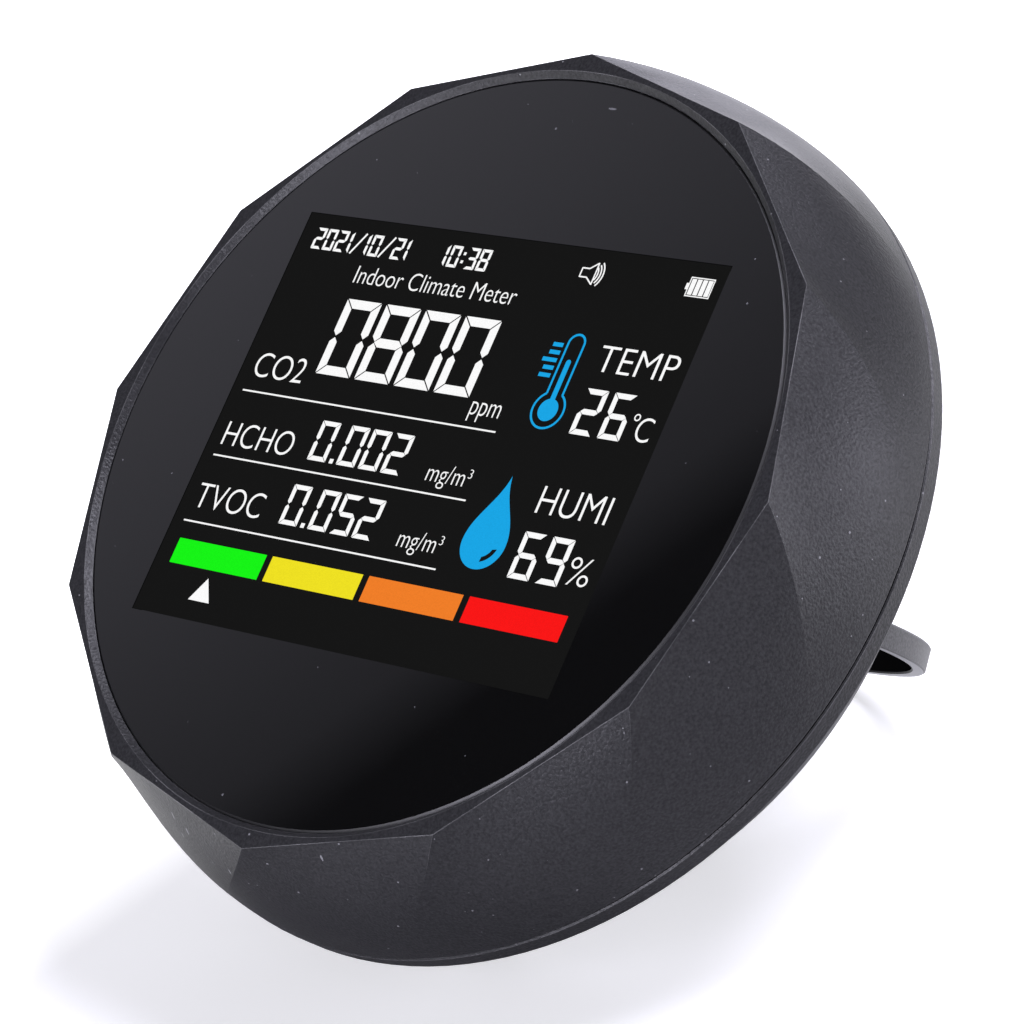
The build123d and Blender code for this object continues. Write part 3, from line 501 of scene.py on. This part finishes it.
def wire_sheath(name):
    """Insulated leads: red on one side of the plug's middle and black on the other."""
    material, shader = start_material(name)
    middle = (sum(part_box("battery_leads"), Vector()) / 2).dot(FACE_UP)
    along = dot_product(material, object_place(material), FACE_UP)
    side = remap(material, along, middle - 0.05 * MM, middle, 0, 1)
    shade = blend_colours(material, side, (0.012, 0.012, 0.012), (0.45, 0.01, 0.01))
    link(material, shade, shader.inputs["Base Color"])
    shader.inputs["Roughness"].default_value = 0.5
    add_bump(material, shader, noise(material, 0.3 * MM), 0.01 * MM)
    return material


HOUSING = moulded_plastic(
    "housing_grain", (0.012, 0.012, 0.0135), 0.46,
    grain=0.34 * MM, depth=0.08 * MM, relief=0.12, marks=True, edge_radius=0.14 * MM,
)
STAND = hoop_plastic("stand_grain", (0.052, 0.052, 0.055), HINGE_MIDDLE)
KEY = moulded_plastic("key_satin", (0.018, 0.018, 0.02), 0.38, grain=0.35 * MM, depth=0.01 * MM)
CARRIER = moulded_plastic("carrier_moulding", (0.03, 0.03, 0.033), 0.55)
WHITE_PLASTIC = moulded_plastic("white_moulding", (0.7, 0.7, 0.67), 0.5)
CONNECTOR = moulded_plastic("connector_moulding", (0.52, 0.49, 0.4), 0.5, grain=0.3 * MM)
RESIN = moulded_plastic("chip_resin", (0.014, 0.014, 0.015), 0.6, grain=0.15 * MM, depth=0.01 * MM)
POT = moulded_plastic("sensor_pot", (0.03, 0.035, 0.045), 0.45)
TAPE = moulded_plastic("dull_tape", (0.01, 0.01, 0.01), 0.8, grain=0.8 * MM)
BLACK_RUBBER = rubber("black_rubber", (0.012, 0.012, 0.012))
FOAM = rubber("grey_foam", (0.05, 0.05, 0.052))
STEEL = plated_metal("plated_steel", (0.56, 0.57, 0.6), 0.3)
DARK_STEEL = plated_metal("dark_screw_steel", (0.06, 0.06, 0.065), 0.42)
CAN_METAL = plated_metal("plated_can", (0.74, 0.6, 0.34), 0.28)
GOLD = plated_metal("gold_plate", (0.86, 0.62, 0.26), 0.22)
ALUMINIUM = plated_metal("satin_aluminium", (0.66, 0.67, 0.69), 0.34)
MEMBRANE = cloth("white_membrane", (0.72, 0.72, 0.7), 0.3 * MM)
FILTER = cloth("dark_filter_cloth", (0.012, 0.012, 0.012), 0.5 * MM)
CELL_BLACK = moulded_plastic("display_black", (0.004, 0.004, 0.004), 0.5, grain=0.2 * MM, depth=0.002 * MM)

NODE_MATERIALS = {
    "front_housing": HOUSING,
    "rear_cover": HOUSING,
    "lens_panel": coated_glass("cover_glass"),
    "lens_adhesive_ring": TAPE,
    "display_cell": CELL_BLACK,
    "display_backlight": WHITE_PLASTIC,
    "display_carrier": CARRIER,
    "carrier_screws": STEEL,
    "display_flex": amber_film("amber_film"),
    "flex_socket": CONNECTOR,
    "battery_foam": FOAM,
    "battery_cell": crinkled_foil("battery_foil"),
    "battery_leads": wire_sheath("lead_sheath"),
    "battery_plug": CONNECTOR,
    "battery_socket": CONNECTOR,
    "main_board": circuit_board("green_board"),
    "board_screws": STEEL,
    "processor_chip": RESIN,
    "support_chips": RESIN,
    "board_capacitors": ALUMINIUM,
    "buzzer": RESIN,
    "co2_sensor_board": circuit_board("sensor_board"),
    "co2_sensor_can": CAN_METAL,
    "co2_sensor_membrane": MEMBRANE,
    "co2_sensor_pins": GOLD,
    "formaldehyde_sensor": POT,
    "formaldehyde_membrane": MEMBRANE,
    "tvoc_sensor": ALUMINIUM,
    "temperature_humidity_sensor": WHITE_PLASTIC,
    "switch_bodies": RESIN,
    "usb_shell": STEEL,
    "usb_tongue": RESIN,
    "vent_filter": FILTER,
    "cover_screws": DARK_STEEL,
    "rubber_feet": BLACK_RUBBER,
    "stand_pins": STEEL,
    "stand_hoop": STAND,
    "stand_pad": BLACK_RUBBER,
}
for key_name in ("power", "up", "down"):
    NODE_MATERIALS[f"button_{key_name}"] = KEY
    NODE_MATERIALS[f"plunger_{key_name}"] = CONNECTOR

for node_name, node_object in frame["nodes"].items():
    node_object.data.materials.clear()
    node_object.data.materials.append(NODE_MATERIALS[node_name])


# ---------------------------------------------------------------- flat shapes on the face
MERGE_DISTANCE = 0.001 * MM
LETTER_THINNING = -0.012         # moves the built-in letter's outline inwards, in letter sizes


class Sheet:
    """Flat polygons and lettering in display millimetres, finished as one thin solid piece."""

    def __init__(self):
        self.mesh = bmesh.new()

    def polygon(self, points):
        self.mesh.faces.new([self.mesh.verts.new((x * MM, y * MM, 0)) for x, y in points])

    def box(self, left, bottom, right, top):
        self.polygon([(left, bottom), (right, bottom), (right, top), (left, top)])

    def band(self, inner, outer):
        """Quads between two rows of points."""
        for index in range(len(inner) - 1):
            self.polygon([inner[index], outer[index], outer[index + 1], inner[index + 1]])

    def arc(self, x, y, radius, width, start, end):
        """Round band of a middle radius, from one angle to another in degrees."""
        self.band(
            arc_points(x, y, radius - width / 2, start, end),
            arc_points(x, y, radius + width / 2, start, end),
        )

    def line(self, first, last, width):
        """Straight stroke between two points."""
        first, last = Vector(first), Vector(last)
        along = (last - first).normalized() * width / 2
        across = Vector((-along.y, along.x))
        corners = (first - across, last - across, last + across, first + across)
        self.polygon([tuple(corner) for corner in corners])

    def frame(self, left, bottom, right, top, width):
        """Rectangular outline."""
        outer = [(left, bottom), (right, bottom), (right, top), (left, top), (left, bottom)]
        left, bottom, right, top = left + width, bottom + width, right - width, top - width
        inner = [(left, bottom), (right, bottom), (right, top), (left, top), (left, bottom)]
        self.band(inner, outer)

    def label(self, text, left, right, baseline, height, like="H"):
        """Lettering fitted between left and right; height is that of the letter given as like."""
        lettering = letter_mesh(text)
        low = min(vertex.co.x for vertex in lettering.vertices)
        high = max(vertex.co.x for vertex in lettering.vertices)
        tall = max(vertex.co.y for vertex in letter_mesh(like).vertices)
        width_scale = (right - left) / (high - low) * MM
        lettering.transform(
            Matrix.Translation((left * MM - low * width_scale, baseline * MM, 0))
            @ Matrix.Diagonal((width_scale, height / tall * MM, 1, 1))
        )
        self.mesh.from_mesh(lettering)

    def piece(self, name, material, spot):
        """Thicken towards the front and place at a face-frame spot, riding on the housing."""
        bmesh.ops.remove_doubles(self.mesh, verts=self.mesh.verts, dist=MERGE_DISTANCE)
        grown = bmesh.ops.extrude_face_region(self.mesh, geom=self.mesh.faces[:], use_keep_orig=True)
        front = [item for item in grown["geom"] if isinstance(item, bmesh.types.BMVert)]
        bmesh.ops.translate(self.mesh, verts=front, vec=(0, 0, PRINT_THICKNESS))
        bmesh.ops.recalc_face_normals(self.mesh, faces=self.mesh.faces[:])
        data = bpy.data.meshes.new(name)
        self.mesh.to_mesh(data)
        self.mesh.free()
        data.materials.append(material)
        piece = bpy.data.objects.new(name, data)
        bpy.context.scene.collection.objects.link(piece)
        piece.matrix_world = FACE @ Matrix.Translation(spot)
        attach(piece, "housing")
        return piece


def letter_mesh(text):
    """Flat mesh of a text in the built-in sans letter, thinned a little."""
    curve = bpy.data.curves.new("lettering", "FONT")
    curve.body = text
    curve.offset = LETTER_THINNING
    text_object = bpy.data.objects.new("lettering", curve)
    bpy.context.scene.collection.objects.link(text_object)
    graph = bpy.context.evaluated_depsgraph_get()
    mesh = bpy.data.meshes.new_from_object(text_object.evaluated_get(graph))
    bpy.data.objects.remove(text_object)
    return mesh


def arc_points(x, y, radius, start, end, steps=32):
    angles = [math.radians(start + (end - start) * index / steps) for index in range(steps + 1)]
    return [(x + radius * math.cos(angle), y + radius * math.sin(angle)) for angle in angles]


def curve_points(start, first_pull, second_pull, end, steps=24):
    """Cubic curve between two points."""
    points = []
    for index in range(steps + 1):
        t = index / steps
        shares = ((1 - t) ** 3, 3 * t * (1 - t) ** 2, 3 * t * t * (1 - t), t**3)
        points.append(tuple(
            sum(share * point[axis] for share, point in zip(shares, (start, first_pull, second_pull, end)))
            for axis in (0, 1)
        ))
    return points


# ---------------------------------------------------------------- seven-segment digits
SEGMENTS = {
    "0": "abcdef", "1": "bc", "2": "abged", "3": "abgcd", "5": "afgcd",
    "6": "afgedc", "8": "abcdefg", "9": "abcdfg",
}
SEGMENT_GAP = 0.1                # gap between segments, as a share of their stroke
COLON_LEVELS = (0.24, 0.62)      # heights of a colon's dots, as shares of the digit's
SLASH_STROKE = 0.7               # a slash's stroke, as a share of the digit's
ONE_LEAD = 0.8                   # where the bars of a 1 start and where the next digit starts,
ONE_PITCH = 2.1                  # both in the gaps between digits


def draw_digit(sheet, character, left, bottom, width, height, stroke):
    """One seven-segment digit with mitred ends and hairline gaps."""
    gap = SEGMENT_GAP * stroke
    middle = height / 2
    inset = stroke + gap
    top = [(gap, height), (width - gap, height), (width - inset, height - stroke), (inset, height - stroke)]
    bar = [(stroke / 2, middle), (inset, middle + stroke / 2), (width - inset, middle + stroke / 2),
           (width - stroke / 2, middle), (width - inset, middle - stroke / 2), (inset, middle - stroke / 2)]
    side = [(0, height - gap), (stroke, height - inset), (stroke, middle + stroke / 2 + gap),
            (stroke / 2, middle + gap), (0, middle + stroke / 2 + gap)]
    shapes = {
        "a": top,
        "d": [(x, height - y) for x, y in top],
        "g": bar,
        "f": side,
        "b": [(width - x, y) for x, y in side],
        "e": [(x, height - y) for x, y in side],
        "c": [(width - x, height - y) for x, y in side],
    }
    for segment in SEGMENTS[character]:
        sheet.polygon([(left + x, bottom + y) for x, y in shapes[segment]])


def draw_number(sheet, text, left, bottom, width, height, stroke, pitch):
    """Digits and marks in a row. A 1 and the marks take less room than a digit."""
    gap = pitch - width
    x = left
    for character in text:
        if character == ".":
            sheet.box(x, bottom, x + stroke, bottom + stroke)
            x += 2 * stroke
        elif character == ":":
            for level in COLON_LEVELS:
                dot_left, dot_bottom = x + gap / 2, bottom + level * height
                sheet.box(dot_left, dot_bottom, dot_left + stroke, dot_bottom + stroke)
            x += stroke + 2 * gap
        elif character == "/":
            sheet.line((x, bottom), (x + width, bottom + height), SLASH_STROKE * stroke)
            x += pitch
        elif character == "1":
            draw_digit(sheet, "1", x + ONE_LEAD * gap + stroke - width, bottom, width, height, stroke)
            x += stroke + ONE_PITCH * gap
        else:
            draw_digit(sheet, character, x, bottom, width, height, stroke)
            x += pitch


# ---------------------------------------------------------------- picture on the display
# Sizes are millimetres from the middle of the picture, which lies on the display cell.
LEFT_EDGE = -30.2                # left edge of the labels
RULE_LEFT = -30.5
RULE_RIGHT = 9.6
RULE_HALF_WIDTH = 0.1
UNIT_RIGHT = 9.05                # right edge of the units beside the readings
SIDE_LEFT = 19.8                 # left edge of the temperature and humidity readings
SIDE_RIGHT = 30.9

PICTURE_PLACE = CELL_FRONT + PRINT_GAP
PICTURE_MIDDLE = sight_line(PICTURE_PLACE)


def screen_level(value):
    """Linear light for a display level from 0 to 255."""
    share = value / 255
    return share / 12.92 if share < 0.04045 else ((share + 0.055) / 1.055) ** 2.4


def screen_colour(red, green, blue):
    return tuple(screen_level(value) for value in (red, green, blue))


WHITE_LIGHT = lit_pixels("lit_white", screen_colour(255, 255, 255))
BLUE_LIGHT = lit_pixels("lit_blue", screen_colour(27, 168, 232))
BACKGROUND_LIGHT = lit_pixels("lit_background", screen_colour(23, 23, 23))


def finish_picture(sheet, name, material, layer):
    """Place a sheet of the picture on its layer above the display cell."""
    piece = sheet.piece(name, material, (*PICTURE_MIDDLE, PICTURE_PLACE + layer * LAYER_STEP))


def draw_background():
    """The dark ground of the lit picture."""
    sheet = Sheet()
    half_width = PICTURE_WIDTH / MM / 2
    half_height = PICTURE_HEIGHT / MM / 2
    sheet.box(-half_width, -half_height, half_width, half_height)
    finish_picture(sheet, "picture_background", BACKGROUND_LIGHT, 0)


def draw_readings():
    """The seven-segment numbers, each placed by its left and bottom edges."""
    sheet = Sheet()
    small = dict(width=1.53, height=2.76, stroke=0.36, pitch=1.82)
    middle = dict(width=2.87, height=5.0, stroke=0.57, pitch=3.49)
    side = dict(width=3.14, height=5.6, stroke=0.65, pitch=4.1)
    draw_number(sheet, "2021/10/21", LEFT_EDGE + 0.2, 21.54, **small)
    draw_number(sheet, "10:38", -9.15, 21.54, **small)
    draw_number(sheet, "0800", -20.55, 6.13, width=5.48, height=9.74, stroke=1.15, pitch=6.25)
    draw_number(sheet, "0.002", -16.0, -4.45, **middle)
    draw_number(sheet, "0.052", -16.0, -12.65, **middle)
    draw_number(sheet, "26", SIDE_LEFT, 3.9, **side)
    draw_number(sheet, "69", SIDE_LEFT, -13.7, **side)
    finish_picture(sheet, "picture_readings", WHITE_LIGHT, 1)


def draw_labels():
    """Words and units, each placed by its left, right, baseline and letter height."""
    sheet = Sheet()
    sheet.label("Indoor Climate Meter", -21.08, 4.22, 17.94, 2.22)
    sheet.label("CO2", LEFT_EDGE, -22.2, 4.49, 3.1)
    sheet.label("HCHO", LEFT_EDGE, -19.0, -4.52, 3.0)
    sheet.label("TVOC", LEFT_EDGE, -19.4, -12.65, 3.1)
    sheet.label("TEMP", SIDE_LEFT - 0.3, SIDE_RIGHT, 11.58, 3.2)
    sheet.label("HUMI", SIDE_LEFT, SIDE_RIGHT - 1, -5.87, 3.3)
    sheet.label("ppm", 4.6, UNIT_RIGHT, 4.2, 1.6, like="x")
    for baseline in (-4.41, -12.65):
        sheet.label("mg/m³", 2.53, UNIT_RIGHT, baseline, 1.42, like="x")
    sheet.label("C", 28.75, SIDE_RIGHT, 4.2, 2.9)
    sheet.arc(28.25, 7.0, 0.36, 0.16, 0, 360)
    sheet.label("%", 27.75, SIDE_RIGHT, -13.2, 3.26)
    finish_picture(sheet, "picture_labels", WHITE_LIGHT, 1)


def draw_rules():
    """The three thin rules under the readings and the white pointer under the bars."""
    sheet = Sheet()
    for level in (2.61, -5.90, -14.41):
        sheet.box(RULE_LEFT, level - RULE_HALF_WIDTH, RULE_RIGHT, level + RULE_HALF_WIDTH)
    sheet.polygon([(-24.4, -23.7), (-21.0, -23.7), (-22.7, -20.8)])
    finish_picture(sheet, "picture_rules", WHITE_LIGHT, 1)


def draw_status_icons():
    """Loudspeaker and battery."""
    sheet = Sheet()
    stroke, middle = 0.17, 23.1
    back, throat, mouth = 11.85, 12.9, 13.95
    box_half, horn_half = 0.55, 1.35
    for side in (-1, 1):
        sheet.line((back, middle + side * box_half), (throat, middle + side * box_half), stroke)
        sheet.line((throat, middle + side * box_half), (mouth, middle + side * horn_half), stroke)
    for place, half_height in ((back, 0.6), (mouth, 1.38)):
        sheet.line((place, middle - half_height), (place, middle + half_height), stroke)
    for radius, reach in ((1.35, 35), (1.75, 40), (2.15, 42)):
        sheet.arc(12.95, middle, radius, 0.18, -reach, reach)
    left, bottom, right, top = 27.45, 21.9, 30.9, 24.3
    cell_start, cell_margin, cell_width, cell_pitch = 0.27, 0.23, 0.62, 0.78
    sheet.frame(left, bottom, right, top, 0.13)
    sheet.box(left - 0.31, 22.72, left, 23.5)
    for index in range(4):
        cell_left = left + cell_start + cell_pitch * index
        sheet.box(cell_left, bottom + cell_margin, cell_left + cell_width, top - cell_margin)
    finish_picture(sheet, "picture_status_icons", WHITE_LIGHT, 1)


def draw_thermometer():
    """Outlined tube and bulb with a filled core, and five ticks beside it."""
    sheet = Sheet()
    x, bulb_y, top, stroke = 15.57, 6.21, 15.72, 0.27
    tube_outside, bulb_outside = 1.285, 2.38
    core, core_top = 0.345, 12.46
    ticks_right, tick_top, tick_step, tick_half_width = 13.8, 14.07, 0.95, 0.25
    tube = tube_outside - stroke / 2
    bulb = bulb_outside - stroke / 2
    tube_top = top - tube_outside
    join = math.degrees(math.acos(tube / bulb))
    sheet.arc(x, tube_top, tube, stroke, 0, 180)
    sheet.arc(x, bulb_y, bulb, stroke, 180 - join, 360 + join)
    for side in (-1, 1):
        foot = bulb_y + math.sqrt(bulb**2 - tube**2)
        sheet.line((x + side * tube, foot), (x + side * tube, tube_top), stroke)
    sheet.polygon(arc_points(x, bulb_y, 1.38, 105, 435))
    round_end = arc_points(x, core_top - core, core, 0, 180, 12)
    sheet.polygon([(x - core, bulb_y + 1.2), (x + core, bulb_y + 1.2), *round_end])
    for index, length in enumerate((1.45, 1.53, 2.1, 1.53, 1.7)):
        level = tick_top - tick_step * index
        sheet.box(ticks_right - length, level - tick_half_width, ticks_right, level + tick_half_width)
    finish_picture(sheet, "picture_thermometer", BLUE_LIGHT, 1)


def draw_droplet():
    """Filled drop with a small dark glint."""
    x, y, radius, tip = 14.7, -10.35, 3.18, -2.15
    left_side = curve_points((x, tip), (x - 0.5, tip - 3.3), (x - radius, y + 3.0), (x - radius, y))
    right_side = [(2 * x - point_x, point_y) for point_x, point_y in reversed(left_side[1:-1])]
    sheet = Sheet()
    sheet.polygon([*left_side, *arc_points(x, y, radius, 180, 360)[1:], *right_side])
    finish_picture(sheet, "picture_droplet", BLUE_LIGHT, 1)
    glint = Sheet()
    glint.band(arc_points(x, y, 1.7, -72, -20), arc_points(x - 0.12, y + 0.1, 2.4, -76, -14))
    finish_picture(glint, "picture_droplet_glint", BACKGROUND_LIGHT, 2)


def draw_level_bars():
    """Four coloured bars that grade the air."""
    colours = {
        "green": (24, 248, 24),
        "yellow": (242, 228, 36),
        "orange": (243, 128, 42),
        "red": (253, 24, 24),
    }
    width, pitch = 14.3, 15.27
    for index, (name, colour) in enumerate(colours.items()):
        sheet = Sheet()
        left = -29.8 + pitch * index
        sheet.box(left, -19.78, left + width, -16.64)
        light = lit_pixels(f"lit_{name}", screen_colour(*colour))
        finish_picture(sheet, f"picture_bar_{name}", light, 1)


draw_background()
draw_readings()
draw_labels()
draw_rules()
draw_status_icons()
draw_thermometer()
draw_droplet()
draw_level_bars()


# ---------------------------------------------------------------- black print behind the glass
def draw_glass_print():
    """Black ink on the back of the glass, with an opening for the picture."""
    sheet = Sheet()
    half_width = PICTURE_WIDTH / 2 + PRINT_MARGIN
    half_height = PICTURE_HEIGHT / 2 + PRINT_MARGIN
    radius = GLASS_RADIUS - PRINT_MARGIN
    corner = math.atan2(half_height, half_width)
    angles = [2 * math.pi * step / PRINT_STEPS for step in range(PRINT_STEPS + 1)]
    angles += [corner, math.pi - corner, math.pi + corner, 2 * math.pi - corner]
    outer = []
    inner = []
    for angle in sorted(angles):
        across, upward = math.cos(angle), math.sin(angle)
        reach = min(half_width / max(abs(across), TINY), half_height / max(abs(upward), TINY))
        outer.append((radius * across / MM, radius * upward / MM))
        inner_x = PICTURE_MIDDLE[0] + reach * across
        inner_y = PICTURE_MIDDLE[1] + reach * upward
        inner.append((inner_x / MM, inner_y / MM))
    sheet.band(inner, outer)
    piece = sheet.piece("glass_print", printed_ink("black_ink"), (0, 0, GLASS_BACK + PRINT_GAP))


draw_glass_print()


# ---------------------------------------------------------------- studio
def make_floor():
    """Plain pale floor with a soft paper tone; it glows for the camera and less for the monitor."""
    material, shader = start_material("pale_floor")
    tone = noise(material, 90 * MM, detail=2.0)
    paper = blend_colours(material, tone, (0.78, 0.78, 0.79), (0.82, 0.82, 0.83))
    seen = add_node(material, "ShaderNodeLightPath").outputs["Is Camera Ray"]
    link(material, blend_colours(material, seen, (FLOOR_BOUNCE,) * 3, paper), shader.inputs["Base Color"])
    shader.inputs["Roughness"].default_value = 0.9
    shader.inputs["Specular IOR Level"].default_value = 0.1
    shader.inputs["Emission Color"].default_value = (1, 1, 1, 1)
    glow = calculate(material, "MULTIPLY", seen, FLOOR_GLOW)
    for side, fade, light in BRIGHT_FLOORS:
        place = dot_product(material, object_place(material), side)
        glow = calculate(material, "MAXIMUM", glow, remap(material, place, *fade, 0, light))
    link(material, glow, shader.inputs["Emission Strength"])
    sheet = bmesh.new()
    bmesh.ops.create_grid(sheet, x_segments=4, y_segments=4, size=FLOOR_HALF_SIZE)
    data = bpy.data.meshes.new("floor")
    sheet.to_mesh(data)
    sheet.free()
    data.materials.append(material)
    floor = bpy.data.objects.new("floor", data)
    floor.location = (0, 0, CAD_BOX[0][2] - FLOOR_GAP)
    bpy.context.scene.collection.objects.link(floor)


def make_world():
    """Surroundings that brighten past the softbox edge, and are plain white to the camera."""
    world = bpy.data.worlds.new("studio")
    bpy.context.scene.world = world
    world.use_nodes = True
    background = world.node_tree.nodes["Background"]
    background.inputs["Color"].default_value = (*COOL_WHITE, 1)
    direction = add_node(world, "ShaderNodeTexCoord").outputs["Generated"]
    past_edge = dot_product(world, direction, FACE.to_3x3() @ Vector(SOFTBOX_SIDE))
    first, last = SURROUNDINGS[0][0], SURROUNDINGS[-1][0]
    ramp = add_node(world, "ShaderNodeValToRGB")
    stops = ramp.color_ramp.elements
    while len(stops) < len(SURROUNDINGS):
        stops.new(1.0)
    for stop, (place, light) in zip(stops, SURROUNDINGS):
        stop.position = (place - first) / (last - first)
        stop.color = (light, light, light, 1)
    link(world, remap(world, past_edge, first, last, 0, 1), ramp.inputs["Fac"])
    seen = add_node(world, "ShaderNodeLightPath").outputs["Is Camera Ray"]
    strength = calculate(world, "MAXIMUM", seen, ramp.outputs["Color"])
    link(world, strength, background.inputs["Strength"])


def aim(item, target, up_hint):
    """Turn a camera or lamp so that it looks at a point, with its own up near up_hint."""
    forward = (target - item.location).normalized()
    right = forward.cross(Vector(up_hint)).normalized()
    item.rotation_euler = Matrix((right, right.cross(forward), -forward)).transposed().to_euler()


def make_camera():
    """The camera stands to the right of the face and level with its lower half."""
    data = bpy.data.cameras.new("camera")
    data.lens = CAMERA_LENS
    data.sensor_width = SENSOR_WIDTH
    camera = bpy.data.objects.new("camera", data)
    bpy.context.scene.collection.objects.link(camera)
    camera.location = face_point(*CAMERA_SPOT)
    aim(camera, face_point(*CAMERA_AIM), FACE.to_3x3() @ Vector(CAMERA_UP))
    bpy.context.scene.camera = camera


NEARLY_UP = (0, 0.01, 1)          # tilted a little, so that a lamp straight above can be turned too


def add_softbox(name, direction, distance, size, brightness):
    """Square soft light aimed at the monitor from a row-frame direction."""
    data = bpy.data.lights.new(name, "AREA")
    data.size = size
    data.energy = brightness * math.pi * size**2
    data.color = COOL_WHITE
    lamp = bpy.data.objects.new(name, data)
    lamp.visible_camera = False
    bpy.context.scene.collection.objects.link(lamp)
    target = Vector((0, 0, CAD_BOX[1][2] / 2))
    lamp.location = target + Vector(direction).normalized() * distance
    aim(lamp, target, NEARLY_UP)


make_floor()
make_world()
make_camera()
add_softbox("side_softbox", (0.84, 0.52, 0.1), 0.57, 0.18, 8.2)
add_softbox("right_front_softbox", (0.9, -0.4, 0.15), 0.7, 0.4, 0.8)
add_softbox("top_softbox", (0.34, 0.37, 0.86), 0.7, 0.3, 16)
add_softbox("low_front_softbox", (0.29, -0.95, 0.12), 0.7, 0.25, 15)
add_softbox("front_softbox", (-0.1, -0.98, 0.3), 0.7, 0.4, 3.5)
add_softbox("back_left_softbox", (-0.62, 0.89, 0.12), 0.7, 0.5, 2.2)
bpy.context.scene.view_settings.view_transform = "Standard"
